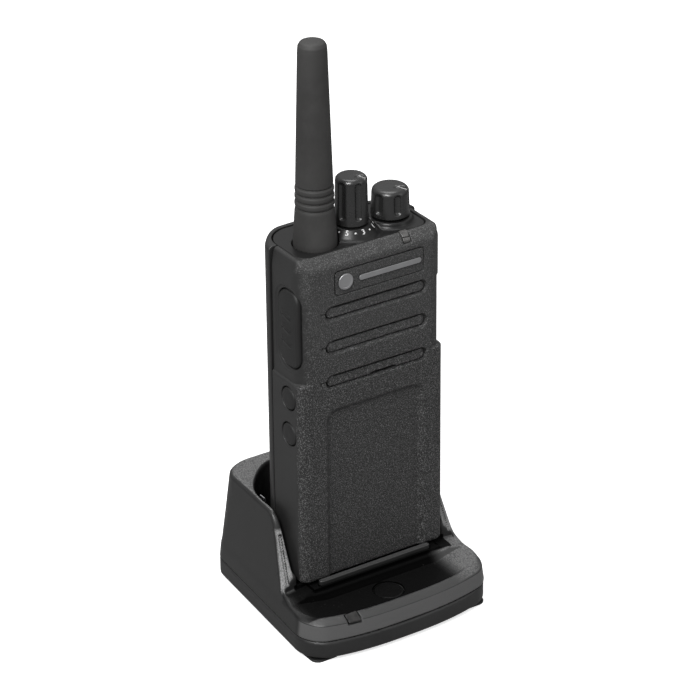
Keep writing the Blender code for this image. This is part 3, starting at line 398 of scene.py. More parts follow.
def grey(v, warm=0.0):
    return (v * (1 + warm), v, v * (1 - warm))


def wire_up(nt, bsdf, colour=None, rough=None, normal=None, **inputs):
    for key, v in (("Base Color", colour), ("Roughness", rough), ("Normal", normal)):
        if v is None:
            continue
        if hasattr(v, "is_linked"):
            nt.links.new(v, bsdf.inputs[key])
        else:
            bsdf.inputs[key].default_value = (*v, 1.0) if isinstance(v, tuple) else v
    for k, v in inputs.items():
        bsdf.inputs[k.replace("_", " ")].default_value = v


def coarse_grain_material():
    """Front casing: a coarse spark grain on the face, top edge and inner panel, a fine satin on the side panels."""
    m, nt, bsdf, vec = new_material("textured_black_plastic")
    xyz = put(nt, "ShaderNodeSeparateXYZ", Vector=vec).outputs
    y = arith(nt, "MULTIPLY", arith(nt, "SUBTRACT", xyz["Y"], float(ORG[1])), 1000.0)
    z = arith(nt, "MULTIPLY", arith(nt, "SUBTRACT", xyz["Z"], float(ORG[2])), 1000.0)
    wander = span(nt, noise(nt, vec, 1.4, 1.0), 0.3, 0.7, -0.35, 0.35)
    y = arith(nt, "ADD", y, wander)
    # the rounded corners of the narrower upper part stay smooth
    across = arith(nt, "ABSOLUTE", arith(nt, "MULTIPLY", xyz["X"], 1000.0))
    corner = arith(nt, "MULTIPLY", span(nt, z, 72.4, 74.0, 0.0, 1.0), span(nt, across, 21.4, 22.6, 0.0, 1.0))
    y = arith(nt, "ADD", y, arith(nt, "MULTIPLY", arith(nt, "MULTIPLY", corner, span(nt, z, 100.0, 108.0, 1.0, 0.3)), 1.3))
    low = span(nt, y, 2.0, 3.1, 1.0, 0.0)
    high = span(nt, y, 1.1, 3.4, 1.0, 0.0)
    upper = span(nt, z, 72.0, 73.2, 0.0, 1.0)
    top = arith(nt, "MULTIPLY", span(nt, z, 112.2, 113.0, 0.0, 1.0), span(nt, y, 3.3, 4.6, 1.0, 0.0))
    mask = arith(nt, "ADD", arith(nt, "MULTIPLY", low, arith(nt, "SUBTRACT", 1.0, upper)), arith(nt, "MULTIPLY", high, upper))
    mask = arith(nt, "MAXIMUM", mask, top)
    fine = noise(nt, vec, 0.20, 1.0, 0.6)
    mid = noise(nt, vec, 0.46, 1.5, 0.6)
    pits = cells(nt, vec, 0.55, smooth=True)
    grain = arith(nt, "ADD", arith(nt, "MULTIPLY", fine, 0.55), arith(nt, "MULTIPLY", mid, 0.75))
    grain = arith(nt, "SUBTRACT", grain, arith(nt, "MULTIPLY", pits, 0.25))
    speck = span(nt, arith(nt, "ADD", arith(nt, "MULTIPLY", fine, 0.6), arith(nt, "MULTIPLY", mid, 0.4)), 0.50, 0.65, 0.0, 1.0)
    # the grain is less marked towards the top
    calm = span(nt, z, 62.0, 100.0, 0.0, 0.36)
    speck = arith(nt, "ADD", arith(nt, "MULTIPLY", speck, arith(nt, "SUBTRACT", 1.0, calm)), arith(nt, "MULTIPLY", calm, 0.25))
    big = span(nt, noise(nt, vec, 22.0, 3.0), 0.3, 0.7, 0.0, 1.0)
    face = blend_rgb(nt, speck, grey(0.012), grey(0.195))
    side = blend_rgb(nt, big, grey(0.016), grey(0.022))
    colour = blend_rgb(nt, mask, side, face)
    coarse = bump(nt, grain, 0.12, 1.0)
    satin = bump(nt, noise(nt, vec, 0.12, 2.0, 0.6), 0.008, 0.8)
    normal = nt.nodes.new("ShaderNodeMix")
    normal.data_type = "VECTOR"
    nt.links.new(mask, normal.inputs[0])
    nt.links.new(satin, normal.inputs[4])
    nt.links.new(coarse, normal.inputs[5])
    rough = arith(nt, "ADD", arith(nt, "MULTIPLY", mask, 0.12), span(nt, big, 0, 1, 0.42, 0.48))
    wire_up(nt, bsdf, colour, rough, normal.outputs[1])
    bsdf.inputs["Specular IOR Level"].default_value = 0.5
    return m


def satin_plastic(name, base=0.014, rough=0.4, grain_mm=0.12, depth_mm=0.008, wear=0.35, spec=0.5, coat=0.0, warm=0.0, grain_kind="noise"):
    """Moulded plastic or rubber: fine spark grain, faint handling marks, slow colour and gloss variation."""
    m, nt, bsdf, vec = new_material(name)
    big = noise(nt, vec, 17.0, 3.0)
    smudge = span(nt, noise(nt, vec, 6.0, 4.0, 0.65), 0.42, 0.70, 0.0, 1.0)
    if grain_kind == "leather":
        edge = span(nt, cells(nt, vec, grain_mm * 3.4, "DISTANCE_TO_EDGE"), 0.0, 0.16, 0.0, 1.0)
        fine = arith(nt, "ADD", arith(nt, "MULTIPLY", edge, 0.7), arith(nt, "MULTIPLY", noise(nt, vec, grain_mm, 2.0), 0.5))
    else:
        fine = noise(nt, vec, grain_mm, 2.0, 0.6)
    colour = blend_rgb(nt, span(nt, big, 0.3, 0.7, 0, 1), grey(base, warm), grey(base * 1.35, warm))
    colour = blend_rgb(nt, arith(nt, "MULTIPLY", smudge, 0.25 * wear), colour, grey(base * 2.6, warm))
    r = arith(nt, "ADD", span(nt, big, 0.3, 0.7, rough - 0.03, rough + 0.04), arith(nt, "MULTIPLY", smudge, 0.10 * wear))
    # a few hairline handling scratches
    stretched = put(nt, "ShaderNodeMapping", Vector=vec)
    stretched.inputs["Rotation"].default_value = (0.5, 0.9, 0.35)
    stretched.inputs["Scale"].default_value = (1.0, 0.05, 1.0)
    scratch = span(nt, noise(nt, stretched.outputs[0], 0.7, 1.0), 0.74, 0.80, 0.0, 1.0)
    r = arith(nt, "ADD", r, arith(nt, "MULTIPLY", scratch, 0.10 * wear))
    wire_up(nt, bsdf, colour, r, bump(nt, fine, depth_mm, 0.9))
    bsdf.inputs["Specular IOR Level"].default_value = spec
    bsdf.inputs["Coat Weight"].default_value = coat
    bsdf.inputs["Coat Roughness"].default_value = 0.12
    return m


def tray_material():
    """Tray moulding: leather grain on the upward faces and slopes, satin walls, polished basin floor; painted light and
    shade in the colour of the leading facets, front band, basin sides and tilted floor.
    """
    m, nt, bsdf, vec = new_material("tray_black_plastic")
    xyz = put(nt, "ShaderNodeSeparateXYZ", Vector=vec).outputs
    X = arith(nt, "MULTIPLY", xyz["X"], 1000.0)
    Y = arith(nt, "MULTIPLY", arith(nt, "SUBTRACT", xyz["Y"], float(ORG[1])), 1000.0)
    Z = arith(nt, "MULTIPLY", arith(nt, "SUBTRACT", xyz["Z"], float(ORG[2])), 1000.0)
    geo = nt.nodes.new("ShaderNodeNewGeometry")
    nz = put(nt, "ShaderNodeSeparateXYZ", Vector=geo.outputs["Normal"]).outputs["Z"]
    # zones: flat cheek tops, leading facets, ramped sides of the basin, front band, polished floor
    ax = arith(nt, "ABSOLUTE", X)
    top = arith(nt, "MULTIPLY", span(nt, Z, 21.9, 22.5, 0.0, 1.0), span(nt, nz, 0.80, 0.93, 0.0, 1.0))
    # leading facets: grained, and painted lighter as a painted highlight where they face the lamps
    facet_lit = arith(nt, "MULTIPLY", span(nt, nz, 0.24, 0.38, 0.0, 1.0), arith(nt, "MULTIPLY", span(nt, Z, 16.2, 18.0, 1.0, 0.0), span(nt, Y, 2.5, 4.2, 0.0, 1.0)))
    facet_lit = arith(nt, "MULTIPLY", facet_lit, span(nt, ax, 29.7, 30.1, 0.0, 1.0))
    low = span(nt, Y, 1.6, 3.4, 1.0, 0.0)
    # painted light: the right ramp of the basin is grained and painted lighter, as lit; the left one carries the
    # basin's dark polish out to the rim, as painted shade
    ramp_start_lit_right = span(nt, X, -1.0, 1.0, 30.6, 19.0)
    ramp_lit_right = span(nt, arith(nt, "SUBTRACT", ax, ramp_start_lit_right), 0.0, 8.0, 0.0, 1.0)
    ramp_lit_right = arith(nt, "MULTIPLY", arith(nt, "MULTIPLY", ramp_lit_right, span(nt, X, -1.0, 1.0, 0.35, 1.0)), arith(nt, "MULTIPLY", span(nt, nz, 0.75, 0.9, 0.0, 1.0), low))
    # front band: its lighter colour is partly the band's own tone and partly painted light from the front
    band = arith(nt, "MULTIPLY", span(nt, nz, 0.25, 0.45, 1.0, 0.0), arith(nt, "MULTIPLY", span(nt, Z, -5.9, -5.3, 1.0, 0.0), span(nt, Y, -10.5, -8.5, 1.0, 0.0)))
    slope = arith(nt, "MULTIPLY", span(nt, nz, 0.45, 0.7, 0.0, 1.0), arith(nt, "MULTIPLY", span(nt, Z, -6.3, -5.9, 0.0, 1.0), low))
    leather = arith(nt, "MAXIMUM", arith(nt, "MAXIMUM", top, facet_lit), ramp_lit_right)
    rim_y = arith(nt, "ADD", arith(nt, "MULTIPLY", arith(nt, "POWER", arith(nt, "DIVIDE", ax, 36.4), 2.6), 5.6), -17.45)
    inside = arith(nt, "MULTIPLY", span(nt, arith(nt, "SUBTRACT", Y, rim_y), -0.5, 0.3, 0.0, 1.0), span(nt, Z, -1.5, -0.9, 1.0, 0.0))
    # painted shade: on the left the dark polished floor colour runs out to the rim
    floor_zone = arith(nt, "MULTIPLY", span(nt, arith(nt, "SUBTRACT", ax, ramp_start_lit_right), 0.0, 8.0, 1.0, 0.0), arith(nt, "MULTIPLY", inside, low))
    in_pocket = arith(nt, "MULTIPLY", span(nt, ax, 29.4, 30.0, 1.0, 0.0), arith(nt, "MULTIPLY", span(nt, Y, -2.4, -1.7, 0.0, 1.0), span(nt, Z, -0.9, -0.5, 1.0, 0.0)))
    in_pocket = arith(nt, "MULTIPLY", in_pocket, span(nt, Y, 45.8, 47.2, 1.0, 0.0))
    polished = arith(nt, "MAXIMUM", floor_zone, in_pocket)
    polished = arith(nt, "MULTIPLY", polished, span(nt, Z, -5.6, -5.3, 0.0, 1.0))
    leather = arith(nt, "MULTIPLY", leather, arith(nt, "SUBTRACT", 1.0, polished))
    edge = span(nt, cells(nt, vec, 0.85, "DISTANCE_TO_EDGE"), 0.0, 0.16, 0.0, 1.0)
    pebble = arith(nt, "ADD", arith(nt, "MULTIPLY", edge, 0.6), arith(nt, "MULTIPLY", noise(nt, vec, 0.42, 2.0), 0.8))
    grained = arith(nt, "MAXIMUM", leather, arith(nt, "MULTIPLY", arith(nt, "MAXIMUM", band, slope), 0.45))
    coarse = bump(nt, pebble, 0.07, 1.0)
    fine = bump(nt, noise(nt, vec, 0.14, 2.0, 0.6), 0.007, 0.8)
    normal = nt.nodes.new("ShaderNodeMix")
    normal.data_type = "VECTOR"
    nt.links.new(grained, normal.inputs[0])
    nt.links.new(fine, normal.inputs[4])
    nt.links.new(coarse, normal.inputs[5])
    big = noise(nt, vec, 15.0, 3.0)
    glint = span(nt, pebble, 0.55, 0.95, 0.55, 1.35)
    colour = blend_rgb(nt, span(nt, big, 0.3, 0.7, 0, 1), grey(0.012), grey(0.016))
    # front band painted lighter: partly its own tone, partly painted light
    colour = blend_rgb(nt, band, colour, grey(0.100))
    colour = blend_rgb(nt, slope, colour, grey(0.040))
    pale = nt.nodes.new("ShaderNodeMix")
    pale.data_type = "RGBA"
    pale.blend_type = "MULTIPLY"
    pale.inputs[0].default_value = 1.0
    pale.inputs[6].default_value = (*grey(0.105), 1.0)
    nt.links.new(glint, pale.inputs[7])
    colour = blend_rgb(nt, leather, colour, pale.outputs[2])
    # painted highlight: the leading facets are lightened towards pale grey over their grain
    colour = blend_rgb(nt, arith(nt, "MULTIPLY", facet_lit, span(nt, pebble, 0.5, 0.9, 0.45, 1.0)), colour, grey(0.30))
    # painted shade: the polished basin is painted darker where it tilts and lighter where it lies level
    level = span(nt, nz, 0.80, 0.98, 0.0, 1.0)
    colour = blend_rgb(nt, polished, colour, blend_rgb(nt, level, grey(0.0012), grey(0.0055)))
    dust = span(nt, noise(nt, vec, 0.9, 1.0), 0.74, 0.80, 0.0, 0.10)
    colour = blend_rgb(nt, arith(nt, "MULTIPLY", dust, arith(nt, "MAXIMUM", leather, slope)), colour, grey(0.20))
    rough = arith(nt, "ADD", arith(nt, "MULTIPLY", leather, 0.06), span(nt, big, 0.3, 0.7, 0.36, 0.43))
    rough = arith(nt, "MULTIPLY", rough, arith(nt, "SUBTRACT", 1.0, arith(nt, "MULTIPLY", polished, 0.42)))
    nt.links.new(span(nt, arith(nt, "MULTIPLY", polished, span(nt, level, 0.0, 1.0, 1.0, 0.93)), 0.0, 1.0, 0.5, 0.015), bsdf.inputs["Specular IOR Level"])
    wire_up(nt, bsdf, colour, rough, normal.outputs[1])
    return m


def metal_material(name, rgb, rough, along=(1.0, 0.04, 1.0), depth_mm=0.004, period=0.35):
    m, nt, bsdf, vec = new_material(name)
    mp = put(nt, "ShaderNodeMapping", Vector=vec)
    mp.inputs["Scale"].default_value = along
    lines = noise(nt, mp.outputs[0], period, 3.0)
    big = noise(nt, vec, 6.0, 3.0)
    colour = blend_rgb(nt, span(nt, big, 0.3, 0.7, 0, 1), tuple(0.88 * c for c in rgb), rgb)
    r = arith(nt, "ADD", span(nt, lines, 0.3, 0.7, rough - 0.06, rough + 0.08), span(nt, big, 0.3, 0.7, -0.03, 0.03))
    wire_up(nt, bsdf, colour, r, bump(nt, lines, depth_mm, 0.8))
    bsdf.inputs["Metallic"].default_value = 1.0
    return m


def board_material():
    m, nt, bsdf, vec = new_material("circuit_board")
    mp = put(nt, "ShaderNodeMapping", Vector=vec)
    mp.inputs["Scale"].default_value = (1.0, 1.0, 1.0)
    brick = put(nt, "ShaderNodeTexBrick", Vector=mp.outputs[0], Scale=260.0)
    brick.inputs["Mortar Size"].default_value = 0.03
    brick.inputs["Color1"].default_value = (0.012, 0.085, 0.040, 1)
    brick.inputs["Color2"].default_value = (0.016, 0.110, 0.050, 1)
    brick.inputs["Mortar"].default_value = (0.05, 0.24, 0.11, 1)
    pads = span(nt, cells(nt, vec, 2.2), 0.20, 0.26, 1.0, 0.0)
    colour = blend_rgb(nt, arith(nt, "MULTIPLY", pads, 0.8), brick.outputs["Color"], (0.62, 0.52, 0.26))
    wire_up(nt, bsdf, colour, span(nt, pads, 0, 1, 0.42, 0.30), bump(nt, arith(nt, "ADD", brick.outputs["Fac"], noise(nt, vec, 0.5)), 0.02, 0.6))
    return m


def weave_material(name, base):
    m, nt, bsdf, vec = new_material(name)
    wa = put(nt, "ShaderNodeTexWave", Vector=vec, Scale=620.0)
    wb = put(nt, "ShaderNodeTexWave", Vector=vec, Scale=620.0)
    wa.bands_direction, wb.bands_direction = "X", "Z"
    h = arith(nt, "MULTIPLY", wa.outputs["Fac"], wb.outputs["Fac"])
    fuzz = noise(nt, vec, 0.3, 3.0)
    colour = blend_rgb(nt, h, grey(base * 0.4), grey(base * 1.6))
    wire_up(nt, bsdf, colour, 0.95, bump(nt, arith(nt, "ADD", h, fuzz), 0.06, 1.0))
    bsdf.inputs["Sheen Weight"].default_value = 0.3
    return m


def wrap_material():
    m, nt, bsdf, vec = new_material("cell_wrap")
    crinkle = noise(nt, vec, 3.5, 4.0, 0.6)
    seam = put(nt, "ShaderNodeTexWave", Vector=vec, Scale=9.0)
    seam.bands_direction = "Z"
    colour = blend_rgb(nt, span(nt, crinkle, 0.3, 0.7, 0, 1), (0.10, 0.14, 0.26), (0.16, 0.21, 0.36))
    wire_up(nt, bsdf, colour, span(nt, crinkle, 0.3, 0.7, 0.28, 0.42), bump(nt, arith(nt, "ADD", crinkle, seam.outputs["Fac"]), 0.08, 0.5))
    return m


def lens_material(name, low, high):
    m, nt, bsdf, vec = new_material(name)
    haze = noise(nt, vec, 1.6, 3.0)
    prisms = put(nt, "ShaderNodeTexWave", Vector=vec, Scale=420.0)
    colour = blend_rgb(nt, span(nt, haze, 0.3, 0.7, 0, 1), grey(low, 0.02), grey(high, 0.02))
    wire_up(nt, bsdf, colour, span(nt, haze, 0.3, 0.7, 0.10, 0.18), bump(nt, prisms.outputs["Fac"], 0.01, 0.4))
    bsdf.inputs["Specular IOR Level"].default_value = 0.4
    return m


def print_material():
    m, nt, bsdf, vec = new_material("pad_print")
    worn = span(nt, noise(nt, vec, 0.5, 3.0), 0.35, 0.65, 0.0, 1.0)
    wire_up(nt, bsdf, blend_rgb(nt, worn, grey(0.60), grey(0.80)), span(nt, worn, 0, 1, 0.6, 0.45), bump(nt, worn, 0.01, 0.5))
    return m


GRAIN = coarse_grain_material()
SATIN_SIDE = satin_plastic("smooth_black_plastic", 0.016, 0.42)
GLOSS = satin_plastic("satin_black_plastic", 0.008, 0.32, 0.10, 0.005, 0.5, 0.36)
KNOB = satin_plastic("knob_plastic", 0.015, 0.26, 0.10, 0.003, 0.6, 0.6)
TRAY = tray_material()
ANTENNA = satin_plastic("antenna_rubber", 0.030, 0.62, 0.16, 0.010, 0.5, 0.45, warm=0.02)
RUBBER = satin_plastic("black_rubber", 0.011, 0.52, 0.14, 0.010, 0.5, 0.45)
SILVER = metal_material("silver_badge", (0.50, 0.50, 0.51), 0.42, (1.0, 1.0, 0.05))
STEEL = metal_material("steel", (0.62, 0.62, 0.64), 0.28)
NICKEL = metal_material("nickel", (0.72, 0.68, 0.60), 0.24)
GOLD = metal_material("gold_contact", (0.83, 0.62, 0.26), 0.24)
COPPER = metal_material("copper_wire", (0.72, 0.38, 0.20), 0.28)
BOARD = board_material()
BASIN = satin_plastic("basin_black_plastic", 0.004, 0.26, 0.10, 0.003, 0.3, 0.22)
FOOT = satin_plastic("foot_rubber", 0.014, 0.48, 0.14, 0.010, 0.5, 0.45)
LENS = lens_material("smoked_lens", 0.020, 0.032)
LIGHT_PIPE = lens_material("light_pipe_lens", 0.07, 0.11)
FELT = weave_material("felt", 0.03)
CELL = wrap_material()
CONE = satin_plastic("speaker_cone", 0.05, 0.7, 0.25, 0.03, 0.6, warm=0.05)
CORE = satin_plastic("core_plastic", 0.55, 0.5, 0.2, 0.01, 0.2, warm=0.03)
PRINT = print_material()


def settle(ob, body, mat, *nodes):
    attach(ob, body)
    if nodes:
        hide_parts(*nodes)
    return ob


# =====================================================================================
# Mesh helpers for turned and lofted pieces
# =====================================================================================
def mesh_object(name, verts, faces, mat, smooth_deg=40.0):
    me = bpy.data.meshes.new(name)
    me.from_pydata([tuple(p) for p in world(verts)], [], faces)
    bm = bmesh.new()
    bm.from_mesh(me)
    bmesh.ops.remove_doubles(bm, verts=bm.verts, dist=1e-7)
    bmesh.ops.recalc_face_normals(bm, faces=bm.faces)
    bm.to_mesh(me)
    bm.free()
    me.polygons.foreach_set("use_smooth", np.ones(len(me.polygons), bool))
    me.set_sharp_from_angle(angle=math.radians(smooth_deg))
    me.materials.append(mat)
    ob = bpy.data.objects.new(name, me)
    bpy.context.scene.collection.objects.link(ob)
    return ob


def lathe(name, profile, centre, mat, seg=96, axis="z", smooth_deg=40.0):
    """Turned solid; profile is (radius, height) from one end on the axis to the other."""
    verts, faces, rows = [], [], []
    for r, h in profile:
        row = []
        for i in range(1 if r < 1e-6 else seg):
            a = 2 * math.pi * i / seg
            p = (r * math.cos(a), r * math.sin(a), h)
            if axis == "z":
                v = (centre[0] + p[0], centre[1] + p[1], p[2])
            elif axis == "x":
                v = (p[2], centre[0] + p[0], centre[1] + p[1])
            else:
                v = (centre[0] + p[0], p[2], centre[1] + p[1])
            row.append(len(verts))
            verts.append(v)
        rows.append(row)
    for a, b in zip(rows, rows[1:]):
        for i in range(seg):
            j = (i + 1) % seg
            q = [a[i % len(a)], a[j % len(a)], b[j % len(b)], b[i % len(b)]]
            q = [v for k, v in enumerate(q) if v not in q[:k]]
            if len(q) > 2:
                faces.append(q)
    return mesh_object(name, verts, faces, mat, smooth_deg)


def soften(profile, cut):
    """Rounds the corners of a profile: each inner corner is replaced by a short quadratic arc of reach cut."""
    out = [profile[0]]
    for p, q, s in zip(profile, profile[1:], profile[2:]):
        p, q, s = (np.array(v, float) for v in (p, q, s))
        a, b = np.linalg.norm(p - q), np.linalg.norm(s - q)
        c = min(cut, a * 0.48, b * 0.48)
        u, v = q + (p - q) / a * c, q + (s - q) / b * c
        for t in (0.0, 0.25, 0.5, 0.75, 1.0):
            out.append(tuple((1 - t) ** 2 * u + 2 * t * (1 - t) * q + t * t * v))
    out.append(profile[-1])
    return out


def ring_rr(x0, x1, y0, y1, r, n=8):
    out = []
    for cx, cy, a0 in ((x1 - r, y0 + r, -90), (x1 - r, y1 - r, 0), (x0 + r, y1 - r, 90), (x0 + r, y0 + r, 180)):
        for i in range(n + 1):
            a = math.radians(a0 + 90.0 * i / n)
            out.append((cx + r * math.cos(a), cy + r * math.sin(a)))
    return out


def pad(name, x0, x1, y0, y1, z0, z1, r, edge, mat, axis="z", steps=5, both=True):
    """Rounded-rectangle pad with rounded rims: ring loft along an axis."""
    levels = []
    for i in range(steps + 1):
        a = math.radians(90.0 * i / steps)
        levels.append((z0 + edge * (1 - math.sin(a)) if both else z0, edge * (1 - math.cos(a)) if both else 0.0))
    levels = [(z0 + edge * (1 - math.sin(math.radians(90 - 90.0 * i / steps))), edge * (1 - math.cos(math.radians(90 - 90.0 * i / steps)))) for i in range(steps + 1)] if both else [(z0, 0.0)]
    levels += [(z1 - edge * (1 - math.sin(math.radians(90.0 * i / steps))), edge * (1 - math.cos(math.radians(90.0 * i / steps)))) for i in range(steps + 1)]
    rings = []
    for z, inset in levels:
        rr = max(r - inset, 0.05)
        rings.append([(x, y, z) for x, y in ring_rr(x0 + inset, x1 - inset, y0 + inset, y1 - inset, rr)])
    n = len(rings[0])
    verts = [p for ring in rings for p in ring]
    if axis == "y":
        verts = [(p[0], p[2], p[1]) for p in verts]
    if axis == "x":
        verts = [(p[2], p[0], p[1]) for p in verts]
    faces = []
    for k in range(len(rings) - 1):
        for i in range(n):
            j = (i + 1) % n
            faces.append([k * n + i, k * n + j, (k + 1) * n + j, (k + 1) * n + i])
    faces.append(list(range(n))[::-1])
    faces.append([(len(rings) - 1) * n + i for i in range(n)])
    return mesh_object(name, verts, faces, mat)


# =====================================================================================
# Radio: front casing
# =====================================================================================
HALF_LOW = float(_front_hi.x - _front_lo.x) / 2 / MM
HALF_UP = HALF_LOW - 0.6
SHOULDER = 72.6
FRONT_BACK_Y = local_box("front_housing")[1][1] + 0.33
TOP_Z = local_box("front_housing")[1][2]
(bx0, by0, bz0), (bx1, by1, bz1) = local_box("ptt_button")
PTT = dict(y=(by0 + by1) / 2, z=(bz0 + bz1) / 2, hw=5.6, hh=(bz1 - bz0) / 2)
BTN = []
for node in ("side_button_upper", "side_button_lower"):
    lo, hi = local_box(node)
    BTN.append(((lo[1] + hi[1]) / 2, (lo[2] + hi[2]) / 2, (hi[2] - lo[2]) / 2))
SLOTS = (72.0, 84.3, 96.4)


def ptt_plan(Y, Z, grow):
    """D shape: straight front edge with tight corners, fuller curve at the back."""
    y0, y1 = PTT["y"] - PTT["hw"] - grow, PTT["y"] + PTT["hw"] + grow
    z0, z1 = PTT["z"] - PTT["hh"] - grow, PTT["z"] + PTT["hh"] + grow
    front = rect2(Y, Z, y0, y1 + 8, z0, z1, 3.4 + grow)
    back = rect2(Y, Z, y0 - 8, y1, z0, z1, 5.4 + grow)
    return np.maximum(front, back)


front = Field((-HALF_LOW, 0, 0), (HALF_LOW + 0.2, FRONT_BACK_Y, TOP_Z), 0.23)


def front_body(X, Y, Z):
    s = ease((Z - SHOULDER) / 0.55)
    w, r = HALF_LOW - (HALF_LOW - HALF_UP) * s, 3.2 + 2.4 * s
    qx, qy = np.abs(X) - (w - r), r - Y
    d = np.sqrt(np.maximum(qx, 0) ** 2 + np.maximum(qy, 0) ** 2) + np.minimum(np.maximum(qx, qy), 0) - r
    d = smax(d, -Z, 1.1)
    slope_front = (-2.3 * (Y - 0.45) + 1.9 * (Z - 113.2)) / 2.983
    slope_side = (2.3 * (np.abs(X) - HALF_UP + 0.15) + 0.8 * (Z - 113.2)) / 2.435
    d = smax(d, slope_front, 0.55)
    d = smax(d, slope_side, 0.9)
    d = smax(d, Z - TOP_Z, 0.8)
    return smax(d, Y - FRONT_BACK_Y, 0.14)


def top_plan(X, Y, x, y0, y1, r_front, r_back):
    return np.maximum(rect2(X, Y, -x, x, y0, y1 + 20, r_front), rect2(X, Y, -x, x, y0 - 20, y1, r_back))


TOP_OPENING = (lambda X, Y, Z: smax(top_plan(X, Y, 24.6, 3.6, 27.4, 4.2, 9.5), slab(Z, 110.5, 121.0)), (-24.6, 24.6, 3.6, 27.4, 110.5, 121.0))

front.start(front_body)


def panel_depth(X, Z):
    dist = rect2(X, Z, -18.3, 20.0, -9.0, 62.2, 4.6)
    return 1.38 * ease(-dist / 2.1)


front.carve(lambda X, Y, Z: (panel_depth(X, Z) - Y) * 0.9, (-19.5, 21.5, -2, 3, -2, 64))
for k, zc in enumerate(SLOTS):
    def louvre(X, Y, Z, zc=zc):
        dist = rect2(X, Z, -18.0, 21.0, zc - 2.5, zc + 2.5, 2.49)
        tail = rect2(X, Z, -19.7, -16.6, zc + 0.0, zc + 0.75, 0.3)
        floor = 0.50 + 0.40 * np.clip((Z - zc + 2.5) / 5.0, 0, 1)
        depth = floor * ease(-dist / 0.42)
        lower = np.clip((zc + 0.6 - Z) / 1.2, 0, 1)
        groove = (0.62 + 0.55 * lower) * ease(1 - np.abs(dist + 0.62 - 0.12 * lower) / (0.36 + 0.12 * lower))
        depth = depth + groove
        depth = np.maximum(depth, 0.7 * ease(-tail / 0.34))
        return (depth - Y) * 0.85
    front.carve(louvre, (-21, 22.5, -2, 3.2, zc - 3.6, zc + 3.6))
    front.cut(b_box(-14.5, 17.5, 0.6, 5.0, zc + 1.55, zc + 2.1, 0.1))
front.cut(b_box(-0.4, 9.0, -0.5, 5.0, SLOTS[0] - 2.2, SLOTS[0] - 1.15, 0.15), 0.1)
front.cut(b_prism("y", -14.3, 19.6, 102.0, 110.6, 1.2, -2.0, 0.6), 0.22)


def cavity(X, Y, Z):
    s = ease((Z - SHOULDER + 1.0) / 1.0)
    w = HALF_LOW - 2.3 - 0.3 * s
    return smax(smax(smax(np.abs(X) - w, 2.3 - Y, 2.2), slab(Z, 2.3, 112.0), 0.8), Y - 30.0)


front.cut((cavity, (-26, 26, 2.3, 30, 2.3, 112.0)), 0.0)
front.cut(TOP_OPENING, 0.30)
front.cut(b_box(12.2, 15.4, -2.0, 6.0, 112.9, 119.0, 0.2), 0.22)
# talk key window with a shallow dished surround, key windows with a chamfered mouth
front.cut((lambda X, Y, Z: smax(ptt_plan(Y, Z, 0.3), slab(X, -31.0, -22.0)), (-31, -22, PTT["y"] - 6.2, PTT["y"] + 6.2, PTT["z"] - 14.0, PTT["z"] + 14.0)), 0.25)
front.cut((lambda X, Y, Z: smax(smax(ptt_plan(Y, Z, 1.35), slab(X, -31.0, -HALF_UP + 0.38), 0.35), -100 + 0 * X), (-31, -26.0, PTT["y"] - 7.5, PTT["y"] + 7.5, PTT["z"] - 15.0, PTT["z"] + 15.0)), 0.5)
for y, z, r in BTN:
    front.cut(b_cyl("x", y, z, r + 0.3, -31.0, -22.0), 0.32)
# right side: socket window and the recess its cover lies in
front.cut(b_box(24.0, 27.0, 4.6, 11.4, 98.2, 110.2, 0.3))
front.cut(b_box(26.2, 31.0, 3.2, 12.8, 95.9, 113.0, 0.3), 0.25)
settle(front.mesh("front_casing", GRAIN), "radio", GRAIN, "front_housing")
del front

# ---------------------------------------------------------------- rear casing
rear_lo, rear_hi = local_box("rear_housing")
rear = Field(rear_lo, rear_hi, 0.30)


REAR_FLANK = chaikin([(28.0, 8.0), (28.0, 17.9), (27.6, 19.8), (26.5, 21.9), (24.8, 24.1), (22.9, 26.3), (20.9, 28.1), (18.6, 29.4), (16.0, 30.0), (0.0, 30.0)], 2, False)
REAR_PLAN = REAR_FLANK + [(-x, y) for x, y in reversed(REAR_FLANK[:-1])]


def rear_body(X, Y, Z):
    plan = poly2(X, Y, REAR_PLAN)
    d = smax(plan, -Z, 2.6)
    d = smax(d, Z - rear_hi[2], 1.5)
    return smax(d, rear_lo[1] - Y, 0.2)


rear.start(rear_body)
# a shallow grip channel down each side, fading out at both ends
for s in (-1, 1):
    rear.cut(b_capsule((s * 28.45, 21.15, 26.0), (s * 28.45, 21.15, 102.0), 1.6), 0.4)
rear.cut(b_prism("z", -25.4, 25.4, 5.0, 20.8, 1.0, 2.3, 112.0))
rear.cut((lambda X, Y, Z: smax(top_plan(X, Y, 24.6, 5.0, 27.2, 4.0, 9.5), slab(Z, 103.5, 112.0)), (-24.6, 24.6, 5.0, 27.2, 103.5, 112.0)))
rear.cut(TOP_OPENING, 0.30)
rear.cut(b_box(-23.8, 23.8, 22.6, 50.0, 3.0, 93.0, 0.6), 0.5)
rear.cut(b_box(-21.5, 21.5, 24.2, 50.0, -5.0, 4.0, 0.2), 0.3)
rear.cut(b_prism("y", -8.3, 8.3, 91.0, 101.6, 1.5, 27.4, 40.0), 0.3)
rear.cut(b_box(-7.5, 7.5, 15.0, 25.0, 9.0, 14.5, 0.3))
for x, z, yf in ((-13.2, 97.5, 30.0), (13.2, 97.5, 30.0), (-20.5, 8.0, 22.6), (20.5, 8.0, 22.6)):
    rear.cut(b_cyl("y", x, z, 2.4, yf - 1.0, yf + 12.0), 0.25)
    rear.cut(b_cyl("y", x, z, 1.3, 12.0, yf))
settle(rear.mesh("rear_casing", SATIN_SIDE), "radio", SATIN_SIDE, "rear_housing")
del rear

